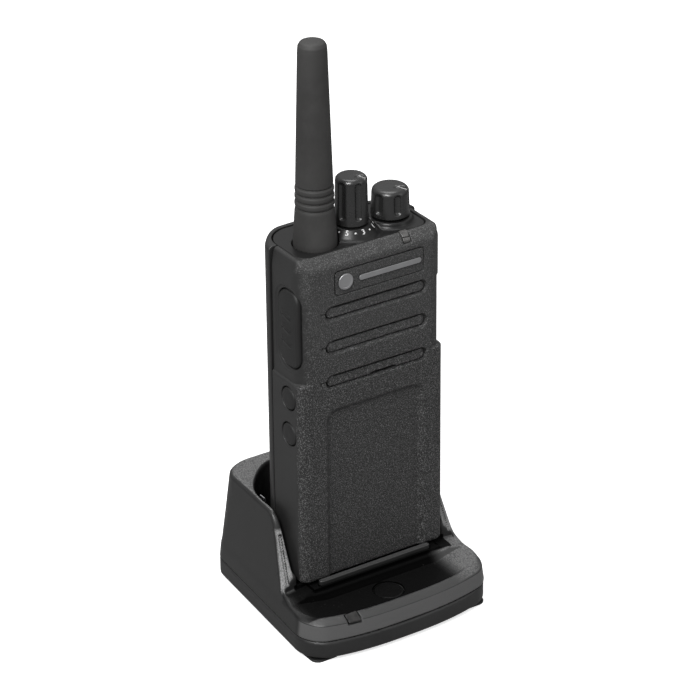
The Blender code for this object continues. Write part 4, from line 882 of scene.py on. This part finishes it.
# ---------------------------------------------------------------- top plate with the numbered collar
plate_lo, plate_hi = local_box("top_escutcheon")
knob_lo, knob_hi = local_box("channel_knob")
vol_lo, vol_hi = local_box("volume_knob")
ant_lo, ant_hi = local_box("antenna_sheath")
CH = (knob_lo[:2] + knob_hi[:2]) / 2
VOL = (vol_lo[:2] + vol_hi[:2]) / 2
ANT = (ant_lo[:2] + ant_hi[:2]) / 2
COLLAR_TOP = plate_hi[2] + 0.3
PLATE_TOP = 115.9
top = Field((-24.3, 3.9, 112.3), (24.3, 27.5, COLLAR_TOP), 0.18)


def cone_solid(cx, cy, r_top, z_top, r_low, z_low, edge):
    slope = (r_low - r_top) / (z_top - z_low)
    k = 1 / math.sqrt(1 + slope * slope)
    def f(X, Y, Z):
        r = np.sqrt((X - cx) ** 2 + (Y - cy) ** 2)
        return smax(smax((r - r_top - (z_top - Z) * slope) * k, Z - z_top, edge), 113.4 - Z)
    return f, (cx - r_low - 1, cx + r_low + 1, cy - r_low - 1, cy + r_low + 1, 113.4, z_top)


top.start(lambda X, Y, Z: smax(top_plan(X, Y, 24.3, 3.9, 27.1, 3.9, 9.2), slab(Z, 112.3, PLATE_TOP), 0.30))
top.add(cone_solid(CH[0], CH[1], 6.25, COLLAR_TOP, 9.0, 115.6, 0.25), 0.9)
top.add(cone_solid(VOL[0], VOL[1], 6.9, 117.8, 7.9, 115.2, 0.5), 0.9)
top.cut(b_cyl("z", ANT[0], ANT[1], 7.45, 113.2, 130.0), 0.25)
top.cut(b_cyl("z", ANT[0], ANT[1], 3.6, 110.0, 118.0))
top.cut(b_cyl("z", CH[0], CH[1], 3.9, 108.0, 122.0), 0.2)
top.cut(b_cyl("z", VOL[0], VOL[1], 3.9, 108.0, 122.0), 0.2)
settle(top.mesh("top_plate", GLOSS), "radio", GLOSS, "top_escutcheon")
del top

# dial: odd numbers 1 to 15 with dots between, sixteen places
dial = []
COLLAR_SLOPE = math.atan2(COLLAR_TOP - 115.6, 9.0 - 6.25)
for k in range(16):
    angle = math.radians(-45.0 - 22.5 * k)
    if k % 2 == 0:
        cu = bpy.data.curves.new("dial_text", "FONT")
        cu.body = str(k + 1)
        cu.size = 2.35 * MM
        cu.align_x, cu.align_y = "CENTER", "CENTER"
        cu.extrude = 0.05 * MM
        cu.resolution_u = 3
        cu.offset = 0.03 * MM
        tmp = bpy.data.objects.new("dial_text", cu)
        bpy.context.scene.collection.objects.link(tmp)
        bpy.context.view_layer.update()
        me = bpy.data.meshes.new_from_object(tmp.evaluated_get(bpy.context.evaluated_depsgraph_get()))
        bpy.data.objects.remove(tmp, do_unlink=True)
    else:
        me = bpy.data.meshes.new("dial_dot")
        bm = bmesh.new()
        bmesh.ops.create_cone(bm, cap_ends=True, segments=20, radius1=0.33 * MM, radius2=0.30 * MM, depth=0.10 * MM)
        bm.to_mesh(me)
        bm.free()
    rr = 6.95
    zz = COLLAR_TOP - (rr - 6.25) * math.tan(COLLAR_SLOPE)
    turn = Matrix.Rotation(angle + math.pi / 2, 4, "Z") @ Matrix.Rotation(COLLAR_SLOPE, 4, "X")
    at = Vector(world((CH[0] + rr * math.cos(angle), CH[1] + rr * math.sin(angle), zz)).tolist())
    lift = turn @ Vector((0, 0, 0.03 * MM))
    me.transform(Matrix.Translation(at + lift) @ turn)
    dial.append(me)
bm = bmesh.new()
for me in dial:
    bm.from_mesh(me)
    bpy.data.meshes.remove(me)
bmesh.ops.remove_doubles(bm, verts=bm.verts, dist=1e-7)
bmesh.ops.recalc_face_normals(bm, faces=bm.faces)
me = bpy.data.meshes.new("dial_numbers")
bm.to_mesh(me)
bm.free()
me.materials.append(PRINT)
dial_ob = bpy.data.objects.new("dial_numbers", me)
bpy.context.scene.collection.objects.link(dial_ob)
settle(dial_ob, "radio", PRINT)

# ---------------------------------------------------------------- antenna
ax_r = 7.1
profile = [(0.0, 184.6), (2.6, 184.55), (3.9, 184.1), (4.55, 183.0), (4.72, 181.2), (6.02, 136.8)]
for k in range(4):
    gz = 136.3 - 2.45 * k
    gr = 5.6 + 0.05 * k
    profile += [(gr + 0.28, gz + 0.22), (gr, gz + 0.12), (gr, gz - 0.12), (gr + 0.34, gz - 0.26)]
    if k < 3:
        profile += [(gr + 0.62, gz - 0.62), (gr + 0.66, gz - 1.2), (gr + 0.62, gz - 1.75)]
profile += [(6.34, 127.9), (ax_r, 117.0), (7.05, 114.9), (6.8, 113.9), (6.2, 113.5), (5.0, 113.4), (3.1, 113.4), (3.1, 176.0), (0.0, 178.5)]
settle(lathe("antenna_rubber_sheath", soften(profile, 0.3), ANT, ANTENNA, 112), "radio", ANTENNA, "antenna_sheath")


# ---------------------------------------------------------------- knobs
def knob(name, node, body, r0, r1, skirt, flute_r, phase, depth, grow, pointer=-50.0):
    lo, hi = local_box(node)
    c = (lo[:2] + hi[:2]) / 2
    z0, z1 = lo[2] + 0.2, hi[2] + grow
    f = Field((c[0] - r0, c[1] - r0, z0), (c[0] + r0, c[1] + r0, z1), 0.13)
    f.start(lambda X, Y, Z: smax(smax(np.sqrt((X - c[0]) ** 2 + (Y - c[1]) ** 2) - (r0 + (r1 - r0) * (Z - z0) / (z1 - z0)), Z - z1, 1.9), z0 - Z, 0.25))
    for i in range(6):
        a = math.radians(phase + 60.0 * i)
        za, zz = z0 + skirt + flute_r, z1 - 1.8 - 0.4 * flute_r
        rb = r0 + (r1 - r0) * (za - z0) / (z1 - z0) + flute_r - depth
        rt = r0 + (r1 - r0) * (zz - z0) / (z1 - z0) + flute_r - depth
        f.cut(b_capsule((c[0] + rb * math.cos(a), c[1] + rb * math.sin(a), za), (c[0] + rt * math.cos(a), c[1] + rt * math.sin(a), zz), flute_r), 0.25)
    # dished top and the teardrop pointer running over the edge
    dish = r1 - 1.25
    f.cut((lambda X, Y, Z: np.sqrt((X - c[0]) ** 2 + (Y - c[1]) ** 2 + (Z - z1 - 14.6) ** 2) - 14.95, (c[0] - dish - 1, c[0] + dish + 1, c[1] - dish - 1, c[1] + dish + 1, z1 - 0.5, z1 + 1)), 0.25)
    a = math.radians(pointer)
    f.cut(b_capsule((c[0] + 2.1 * math.cos(a), c[1] + 2.1 * math.sin(a), z1 + 0.15), (c[0] + (r1 + 1.5) * math.cos(a), c[1] + (r1 + 1.5) * math.sin(a), z1 - 1.0), 0.95), 0.3)
    f.cut(b_cyl("z", c[0], c[1], 3.2, z0 - 2.0, z1 - 3.0), 0.2)
    settle(f.mesh(name, KNOB), body, KNOB, node)


knob("channel_selector_knob", "channel_knob", "channel_knob", 5.55, 5.25, 1.9, 1.35, -97.0, 0.95, 1.0)
knob("volume_control_knob", "volume_knob", "volume_knob", 6.4, 6.05, 1.2, 1.5, -100.0, 1.0, 0.6)

# ---------------------------------------------------------------- talk key and side keys
ptt_lo, ptt_hi = local_box("ptt_button")
f = Field(ptt_lo, ptt_hi, 0.14)
PX = ptt_lo[0]


def key_body(X, Y, Z):
    plan = ptt_plan(Y, Z, 0.0)
    dome = PX + 0.55 * (np.clip((Y - PTT["y"]) / 6.5, -1.2, 1.2) ** 2) + 0.75 * (np.clip((Z - PTT["z"]) / 13.4, -1.2, 1.2) ** 4)
    return smax(smax(plan, (dome - X) * 0.97, 0.8), X - ptt_hi[0] + 0.2, 0.3)


f.start(key_body)
for k in (-1, 0, 1):
    zc = PTT["z"] + 0.6 + 4.6 * k
    f.add(b_capsule((PX + 0.42, PTT["y"] - 2.0, zc - 0.45), (PX + 0.36, PTT["y"] + 2.0, zc + 0.45), 0.62), 0.5)
    f.cut(b_capsule((PX - 0.06, PTT["y"] - 1.8, zc - 1.75), (PX - 0.06, PTT["y"] + 1.8, zc - 0.95), 0.60), 0.3)
settle(f.mesh("talk_key", RUBBER), "ptt_button", RUBBER, "ptt_button")
for tag, (y, z, r) in zip(("upper", "lower"), BTN):
    lo, hi = local_box("side_button_" + tag)
    prof = [(0.0, lo[0] + 0.05), (1.6, lo[0] + 0.02), (r - 1.0, lo[0] + 0.12), (r - 0.15, lo[0] + 0.55), (r, lo[0] + 1.2), (r, hi[0] - 1.1), (r - 1.4, hi[0] - 1.0), (r - 1.4, hi[0]), (0.0, hi[0])]
    settle(lathe(f"side_key_{tag}", soften(prof, 0.4), (y, z), RUBBER, 72, "x"), f"side_button_{tag}", RUBBER, f"side_button_{tag}")

# ---------------------------------------------------------------- dust cover of the accessory socket
lo, hi = local_box("jack_cover")
f = Field(lo, hi, 0.16)
f.start(lambda X, Y, Z: smax(rect2(Y, Z, lo[1], hi[1], lo[2], hi[2], 1.6), slab(X, lo[0], hi[0] - 0.4), 0.25))
f.add(b_prism("x", lo[1] + 0.7, hi[1] - 0.7, hi[2] - 6.1, hi[2] - 0.3, 1.2, lo[0] + 0.2, hi[0], 0.3), 0.3)
for k in range(3):
    f.cut(b_capsule((hi[0] + 0.12, lo[1] + 2.2, hi[2] - 1.7 - 1.5 * k), (hi[0] + 0.12, hi[1] - 2.2, hi[2] - 1.7 - 1.5 * k), 0.38), 0.15)
settle(f.mesh("socket_dust_cover", RUBBER), "jack_cover", RUBBER, "jack_cover")

# ---------------------------------------------------------------- badge, light pipe
lo, hi = local_box("name_plate")
settle(pad("badge_plate", lo[0], hi[0], lo[2], hi[2], lo[1], hi[1], 1.0, 0.12, GRAIN, "y"), "radio", GRAIN, "name_plate")
lo, hi = local_box("badge_disc")
dc, dr = (lo + hi) / 2, (hi[0] - lo[0]) / 2
settle(lathe("badge_round", soften([(0.0, lo[1] + 0.10), (dr - 0.75, lo[1] + 0.10), (dr - 0.6, lo[1]), (dr - 0.12, lo[1]), (dr, lo[1] + 0.12), (dr, hi[1]), (0.0, hi[1])], 0.05), (dc[0], dc[2]), SILVER, 72, "y"), "radio", SILVER, "badge_disc")
lo, hi = local_box("badge_bar")
settle(pad("badge_strip", lo[0], hi[0], lo[2], hi[2], lo[1], hi[1], 0.85, 0.10, SILVER, "y"), "radio", SILVER, "badge_bar")
lo, hi = local_box("radio_indicator_lens")
f = Field(lo, hi, 0.10)
f.start(lambda X, Y, Z: smax(smax(smax(slab(X, lo[0], hi[0]), slab(Z, lo[2], hi[2]), 0.25), Y - hi[1], 0.2), (-2.3 * (Y - lo[1]) + 1.9 * (Z - 114.0)) / 2.983 , 0.3) + 0 * Y)
f.carve(lambda X, Y, Z: lo[1] - Y + 0 * X + 0 * Z, (lo[0] - 1, hi[0] + 1, lo[1] - 1, hi[1] + 1, lo[2] - 1, hi[2] + 1))
f.cut(b_box(lo[0] - 1, hi[0] + 1, lo[1] - 1, lo[1] + 1.45, 114.55, 114.85, 0.05))
settle(f.mesh("light_pipe", LIGHT_PIPE), "radio", LIGHT_PIPE, "radio_indicator_lens")

# ---------------------------------------------------------------- battery and its latch
lo, hi = local_box("battery_case")
f = Field(lo, hi, 0.30)


BAT_FLANK = chaikin([(23.3, 14.0), (23.3, 24.7), (23.0, 25.8), (22.0, 28.1), (20.1, 31.0), (18.0, 33.8), (15.6, 36.3), (12.6, 38.0), (9.0, 38.8), (4.5, 39.15), (0.0, 39.2)], 2, False)
BAT_PLAN = BAT_FLANK + [(-x, y) for x, y in reversed(BAT_FLANK[:-1])]
BAT_HOLLOW = [(20.4, 14.0), (20.0, 27.4), (16.8, 32.0), (12.4, 36.4), (-12.4, 36.4), (-16.8, 32.0), (-20.0, 27.4), (-20.4, 14.0)]


def battery_body(X, Y, Z):
    d = smax(poly2(X, Y, BAT_PLAN), lo[2] - Z, 2.4)
    d = smax(d, 0.62 * (Z - 84.2) + 0.78 * (Y - hi[1]), 3.0)
    d = smax(d, Z - hi[2], 0.8)
    return smax(d, lo[1] - Y, 0.3)


f.start(battery_body)
# broad finger flutes low on the back and a shallow framed field above them
for k in range(5):
    f.cut(b_capsule((-13.0, hi[1] + 0.95, 11.0 + 3.6 * k), (13.0, hi[1] + 0.95, 11.0 + 3.6 * k), 1.55), 0.5)
f.carve(lambda X, Y, Z: (Y - hi[1] + 0.95 * ease(-rect2(X, Z, -10.5, 10.5, 32.0, 76.0, 2.5) / 0.7)) * 0.95, (-12, 12, hi[1] - 3, hi[1] + 2, 30, 78))
f.cut((lambda X, Y, Z: smax(poly2(X, Y, BAT_HOLLOW), slab(Z, 6.0, 84.0), 0.8), (-20.4, 20.4, 14.0, 36.4, 6.0, 84.0)))
settle(f.mesh("battery_shell", SATIN_SIDE), "battery", SATIN_SIDE, "battery_case")
lo, hi = local_box("battery_latch")
f = Field(lo, hi, 0.14)
f.start(lambda X, Y, Z: smax(rect2(X, Z, lo[0], hi[0], lo[2], hi[2], 1.0), slab(Y, lo[1], hi[1]), 0.45))
for k in range(3):
    f.cut(b_capsule((lo[0] + 2.0, hi[1] + 0.35, lo[2] + 1.2 + 1.15 * k), (hi[0] - 2.0, hi[1] + 0.35, lo[2] + 1.2 + 1.15 * k), 0.6), 0.15)
settle(f.mesh("battery_release_latch", SATIN_SIDE), "battery_latch", SATIN_SIDE, "battery_latch")

# =====================================================================================
# Charging tray
# =====================================================================================
TF, TB, TY0, BOW, TY1 = 36.4, 31.8, -15.6, 5.6, 50.7
RING_Z = np.array([-11.3, -5.8, -3.9, 8.0, 21.8, 23.0])
RING_INSET = np.array([0.0, 0.5, 0.9, 2.3, 3.8, 5.0])
RING_FRONT = np.array([0.0, 0.5, 3.6, 4.0, 4.3, 5.0])
SWEEP = [(-30.0, -3.9), (-4.0, -3.9), (-1.5, -3.4), (1.2, -2.4), (3.1, -1.0), (5.2, 3.0), (7.0, 7.0), (8.9, 11.0), (11.6, 17.6), (13.6, 20.8), (16.0, 22.5), (18.5, 23.0), (60.0, 23.0)]
sw = np.array(chaikin(SWEEP, 2, False))


def tray_plan(X, Y, inset, front, r=8.0):
    """Distance to the tray's outline: bowed front, tapering sides, rounded corners. inset and front are per height."""
    f, b = TF - inset, TB - 0.55 * inset
    ax = np.abs(X)
    side = (ax - (f - (f - b) * (Y + 8.0) / 54.0)) * 0.997
    t = np.minimum(ax / f, 1.1)
    slope = 2.6 * BOW / f * t ** 1.6
    fr = ((TY0 + front) - BOW * (1 - t ** 2.6) - Y) / np.sqrt(1 + slope * slope)
    d = smax(side, fr, r)
    # the back corners open out with height
    rb = 4.7 + 1.15 * inset
    u, v = np.maximum(d + rb, 0), np.maximum(Y - (TY1 - inset * 0.48) + rb, 0)
    return np.minimum(np.maximum(d, Y - (TY1 - inset * 0.48)), -rb) + np.sqrt(u * u + v * v)


lo, hi = local_box("tray_housing")
tray = Field(lo, hi, 0.33)


def tray_body(X, Y, Z):
    inset = np.interp(Z, RING_Z, RING_INSET).astype(F)
    fr = np.interp(Z, RING_Z, RING_FRONT).astype(F)
    d = tray_plan(X, Y, inset, fr, 7.6)
    turned_y = Y - 0.5 * (np.clip(np.abs(X), 28.0, 36.0) - 33.2)
    s = np.interp(turned_y, sw[:, 0], sw[:, 1]).astype(F)
    g = np.gradient(sw[:, 1], sw[:, 0])
    k = 1 / np.sqrt(1 + 1.25 * np.interp(turned_y, sw[:, 0], g) ** 2).astype(F)
    d = smax(d, (Z - s) * k, 0.85)
    return smax(d, -11.3 - Z, 0.25)


tray.start(tray_body)
pocket = [(29.5, -6.0), (29.5, 22), (28.9, 27), (26.9, 31.5), (23.9, 35.4), (20.5, 39), (16.5, 42), (12, 43)]
pocket = chaikin(pocket + [(-x, y) for x, y in reversed(pocket)], 2)
tray.cut((lambda X, Y, Z: smax(poly2(X, Y, pocket), -1.3 - Z, 0.5), (-29.5, 29.5, -6, 43, -1.3, 40)), 0.95)


def basin(X, Y, Z):
    """Shallow basin: its floor is flat in the middle and ramps up to the rim at both sides."""
    ax = np.abs(X)
    t = np.minimum(ax / TF, 1.1)
    fr = (TY0 + 3.75 - BOW * (1 - t ** 2.6)) - Y
    plan = smax(smax(ax - 33.6 + 0.04 * (Y + 8), fr, 5.0), Y - 3.0)
    floor = -4.9 + 0.85 * ease((ax - 19.5) / 13.0)
    # the floor rises to the ledge the radio stands on
    rise = -1.5 - 1.25 * np.maximum(-2.2 - Y, 0.0) - 0.12 * np.maximum(ax - 22.0, 0.0)
    floor = smax(floor, rise + 0.0 * Z, 1.2)
    return smax(plan, floor - Z, 0.8)


tray.cut((basin, (-35, 35, -19, 3, -5.2, 30)), 0.35)
tray.add(b_box(-25.0, 25.0, -1.9, 5.6, -6.4, -1.3, 0.15), 0.12)
tray.cut(b_prism("z", -27.0, 27.0, 2.0, 46.0, 4.0, -14.0, -4.2))
tray.cut(b_prism("z", -29.0, 29.0, -14.5, 3.0, 4.0, -14.0, -7.6))
# groove down the leading edge of each cheek, splitting it into two facets
for s in (-1, 1):
    def crease(X, Y, Z, s=s):
        sy = np.interp(Y - 0.5 * (np.clip(np.abs(X), 28.0, 36.0) - 33.2), sw[:, 0], sw[:, 1]).astype(F)
        return smax(np.abs(s * X - 31.9 + 0.083 * Z) - 0.32, smax(sy - 1.3 - Z, slab(Z, 0.0, 15.5), 0.0))
    tray.cut((crease, (min(s * 29, s * 34), max(s * 29, s * 34), 2.0, 12.5, 0.0, 15.5)), 0.3)
pin_lo, pin_hi = local_box("contact_pin_left")
PIN_Y = (pin_lo[1] + pin_hi[1]) / 2
for s in (-1, 1):
    tray.cut(b_box(s * 6.0 - 1.6, s * 6.0 + 1.6, PIN_Y - 1.4, PIN_Y + 1.4, -9.0, 2.0))
em_lo, em_hi = local_box("tray_emblem_disc")
EM = (em_lo[:2] + em_hi[:2]) / 2
tray.cut(b_cyl("z", EM[0], EM[1], 5.2, em_lo[2] - 0.2, 10.0), 0.2)
ln_lo, ln_hi = local_box("tray_indicator_lens")
tray.cut(b_box(ln_lo[0] - 0.3, ln_hi[0] + 0.3, -26.0, ln_hi[1] + 0.3, ln_lo[2] - 0.3, 3.0))
for s in (-1, 1):
    a, b = sorted((s * 29.0, s * 30.6))
    tray.cut(b_box(a, b, 21.2, 24.8, -0.8, 15.0))
tray.add(b_prism("z", -22.5, 21.0, -2.0, -0.12, 0.93, -3.2, 0.75, 0.35), 0.15)
tray.cut(b_prism("z", -21.8, 20.3, -1.3, -0.82, 0.24, 0.4, 2.0), 0.1)
for x in (-17.0, 17.0):
    tray.add(b_box(x - 1.2, x + 1.2, 5.0, 22.0, -2.4, -0.35, 0.2), 0.2)
for tag, (x, y) in {"fl": (-16.0, -9.0), "fr": (16.0, -9.0), "rl": (-15.0, 41.5), "rr": (15.0, 41.5)}.items():
    ztop = -8.2 if y < 0 else -5.0
    tray.add(b_cyl("z", x, y, 2.8, -15.9, ztop + 1.2))
    tray.cut(b_cyl("z", x, y, 1.25, -16.0, -10.5))
settle(tray.mesh("tray_shell", TRAY), "tray", TRAY, "tray_housing")
del tray

# ---------------------------------------------------------------- tray bottom cover
lo, hi = local_box("tray_bottom_cover")
cover = Field(lo, hi, 0.33)
cover.start(lambda X, Y, Z: smax(smax(tray_plan(X, Y, 0.05 + 0.0 * Z, 0.05), lo[2] - Z, 1.7), Z - hi[2], 0.25))
cover.cut((lambda X, Y, Z: smax(tray_plan(X, Y, 3.0 + 0.0 * Z, 3.0, 5.5), -16.3 - Z, 0.6), (-37, 37, -23, 52, -16.3, 0)))
cover.cut(b_box(-4.8, 4.8, 40.0, 60.0, -16.9, -5.0, 0.3))
for tag in ("front_left", "front_right", "rear_left", "rear_right"):
    flo, fhi = local_box("tray_foot_" + tag)
    c = (fhi[0] - 4.3 if flo[0] < 0 else flo[0] + 4.3, fhi[1] - 4.3 if flo[1] < 0 else flo[1] + 4.3)
    cover.cut(b_prism("z", c[0] - 4.7, c[0] + 4.7, c[1] - 4.7, c[1] + 4.7, 3.4, -25.0, lo[2] + 0.6), 0.15)
    foot = Field(flo, fhi, 0.16)
    foot.start(lambda X, Y, Z: smax(rect2(X, Y, flo[0], fhi[0], flo[1], fhi[1], 3.0), slab(Z, flo[2], lo[2] - 0.35), 0.35))
    foot.add(b_prism("z", c[0] - 4.3, c[0] + 4.3, c[1] - 4.3, c[1] + 4.3, 3.0, flo[2] + 0.3, fhi[2], 0.15), 0.1)
    foot.cut(b_prism("z", c[0] - 2.6, c[0] + 2.6, c[1] - 2.6, c[1] + 2.6, 1.6, flo[2] - 1.0, flo[2] + 0.18), 0.1)
    settle(foot.mesh("rubber_foot_" + tag, FOOT), "tray", FOOT, "tray_foot_" + tag)
    slo, shi = local_box("tray_screw_" + tag)
    c = (slo + shi) / 2
    cover.cut(b_cyl("z", c[0], c[1], 1.35, -22.0, -14.0))
    cover.cut(b_cyl("z", c[0], c[1], 2.6, -22.0, -17.3), 0.1)
# shallow moulded grid of vent slots on the underside
for k in range(5):
    cover.cut(b_capsule((-6.0, 8.0 + 4.0 * k, lo[2] - 0.3), (6.0, 8.0 + 4.0 * k, lo[2] - 0.3), 0.8), 0.15)
settle(cover.mesh("tray_base_cover", SATIN_SIDE), "tray", SATIN_SIDE, "tray_bottom_cover")
del cover

settle(lathe("tray_emblem", soften([(0.0, em_hi[2] - 0.12), (3.4, em_hi[2] - 0.08), (4.6, em_hi[2] - 0.03), (4.9, em_hi[2] - 0.25), (4.9, em_lo[2]), (0.0, em_lo[2])], 0.15), EM, BASIN, 96), "tray", BASIN, "tray_emblem_disc")

# spring leaves beside the pocket: a bent strip whose tip curls in at the cheek's edge
for tag, sgn in (("left", -1), ("right", 1)):
    path = chaikin([(29.95, 0.2), (29.95, 10.8), (28.95, 14.2), (28.75, 19.0), (28.35, 21.2), (28.30, 22.4), (28.75, 23.3)], 3, False)
    n = len(path)
    outer = []
    for i, (x, z) in enumerate(path):
        (xa, za), (xb, zb) = path[max(i - 1, 0)], path[min(i + 1, n - 1)]
        length = math.hypot(xb - xa, zb - za)
        outer.append((x + 0.25 * (zb - za) / length, z - 0.25 * (xb - xa) / length))
    ring = path + outer[::-1]
    verts = [(sgn * x, y, z) for y in (21.7, 24.3) for x, z in ring]
    m2 = len(ring)
    faces = [[i, i + 1, m2 + i + 1, m2 + i] for i in range(m2 - 1)] + [[m2 - 1, 0, m2, 2 * m2 - 1]]
    for i in range(n - 1):
        faces += [[i, i + 1, m2 - 2 - i, m2 - 1 - i], [m2 + i, m2 + i + 1, 2 * m2 - 2 - i, 2 * m2 - 1 - i]]
    settle(mesh_object("spring_leaf_" + tag, verts, faces, STEEL), "tray", STEEL, "guide_spring_" + tag)

# tray light window, following the bowed rim
lo, hi = ln_lo, ln_hi
f = Field(lo, hi, 0.12)


def lens_body(X, Y, Z):
    ins = np.interp(Z, RING_Z, RING_INSET).astype(F)
    fr = np.interp(Z, RING_Z, RING_FRONT).astype(F)
    d = smax(slab(X, lo[0], hi[0]), slab(Z, lo[2], hi[2]), 0.2)
    return smax(smax(d, tray_plan(X, Y, ins, fr, 7.6), 0.2), Y - hi[1], 0.2)


f.start(lens_body)
settle(f.mesh("tray_light_window", LENS), "tray", LENS, "tray_indicator_lens")

# =====================================================================================
# Carried-over CAD nodes take a finished material
# =====================================================================================
FINISH = {
    "housing_gasket": RUBBER, "antenna_ferrule": NICKEL, "antenna_core": CORE, "antenna_coil": COPPER,
    "channel_switch": STEEL, "volume_switch": STEEL, "channel_shaft": NICKEL, "volume_shaft": NICKEL,
    "speaker": CONE, "speaker_cloth": FELT, "microphone": STEEL, "main_circuit_board": BOARD,
    "rf_shield_can": STEEL, "side_switch_board": BOARD, "accessory_jack": GLOSS, "battery_terminal_block": SATIN_SIDE,
    "battery_base": SATIN_SIDE, "battery_cell": CELL, "charging_pad_left": GOLD, "charging_pad_right": GOLD,
    "contact_pin_left": GOLD, "contact_pin_right": GOLD, "contact_block": SATIN_SIDE,
    "tray_circuit_board": BOARD, "tray_power_jack": GLOSS, "guide_spring_left": STEEL, "guide_spring_right": STEEL,
}
for name, ob in frame["nodes"].items():
    if ob.hide_render:
        continue
    mat = FINISH.get(name, STEEL)
    for k in range(len(ob.material_slots)):
        ob.material_slots[k].material = mat
    if not ob.material_slots:
        ob.data.materials.append(mat)

# =====================================================================================
# Floor, light and camera
# =====================================================================================
me = bpy.data.meshes.new("studio_floor")
bm = bmesh.new()
bmesh.ops.create_grid(bm, x_segments=1, y_segments=1, size=3.0)
bm.to_mesh(me)
bm.free()
floor_ob = bpy.data.objects.new("studio_floor", me)
bpy.context.scene.collection.objects.link(floor_ob)
m, nt, bsdf, vec = new_material("studio_paper")
# seen directly the paper is white; what it throws back at the object is held down, as flags would
seen = nt.nodes.new("ShaderNodeLightPath").outputs["Is Camera Ray"]
fibre = span(nt, noise(nt, vec, 3.0, 3.0), 0.3, 0.7, 0.97, 1.0)
paper = blend_rgb(nt, fibre, grey(0.70), grey(0.80))
wire_up(nt, bsdf, blend_rgb(nt, seen, grey(0.26), paper), 0.9)
bsdf.inputs["Specular IOR Level"].default_value = 0.1
bsdf.inputs["Emission Color"].default_value = (1, 1, 1, 1)
nt.links.new(arith(nt, "MULTIPLY", seen, 0.70), bsdf.inputs["Emission Strength"])
me.materials.append(m)
floor_ob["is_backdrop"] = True

w = bpy.data.worlds.new("studio")
w.use_nodes = True
wt = w.node_tree
wt.nodes["Background"].inputs["Color"].default_value = (1, 1, 1, 1)
sky = put(wt, "ShaderNodeSeparateXYZ", Vector=wt.nodes.new("ShaderNodeTexCoord").outputs["Generated"]).outputs
height = span(wt, sky["Z"], -0.05, 0.75, 0.20, 0.60)
direct = wt.nodes.new("ShaderNodeLightPath").outputs["Is Camera Ray"]
wt.links.new(arith(wt, "MAXIMUM", height, direct), wt.nodes["Background"].inputs["Strength"])
bpy.context.scene.world = w

TARGET = Vector((0.0, 0.0, 0.10))


def softbox(name, at, size, power):
    light = bpy.data.lights.new(name, "AREA")
    light.shape = "RECTANGLE"
    light.size, light.size_y = size
    light.energy = power
    ob = bpy.data.objects.new(name, light)
    ob.location = at
    ob.rotation_mode = "QUATERNION"
    ob.rotation_quaternion = (TARGET - Vector(at)).to_track_quat("-Z", "Y")
    bpy.context.scene.collection.objects.link(ob)
    return ob


softbox("key", (-0.62, -0.42, 0.85), (0.40, 0.40), 9.0)
softbox("fill", (0.60, -0.85, 0.55), (0.5, 0.7), 1.0)
softbox("top", (0.05, 0.20, 1.1), (0.6, 0.6), 4.5)

cam = bpy.data.cameras.new("camera")
cam.sensor_width = 36.0
cam.lens = 169.71
cam.clip_start, cam.clip_end = 0.05, 20.0
cam_ob = bpy.data.objects.new("camera", cam)
bpy.context.scene.collection.objects.link(cam_ob)
TH, EL, ROLL = math.radians(33.0), math.radians(27.6), math.radians(-0.57)
right = Vector((math.cos(TH), -math.sin(TH), 0.0))
back = Vector((-math.sin(TH) * math.cos(EL), -math.cos(TH) * math.cos(EL), math.sin(EL)))
upv = back.cross(right)
c, s = math.cos(ROLL), math.sin(ROLL)
cols = (c * right + s * upv, -s * right + c * upv, back)
cam_ob.matrix_world = Matrix.Translation((-0.5160, -0.79565, 0.5879)) @ Matrix((cols[0], cols[1], cols[2])).transposed().to_4x4()
bpy.context.scene.camera = cam_ob
bpy.context.scene.view_settings.view_transform = "Standard"
bpy.context.scene.view_settings.look = "None"

bpy.context.view_layer.update()
lo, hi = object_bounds()
{"cad": [list(CAD_LO), list(CAD_HI)], "visual": [list(lo), list(hi)]}
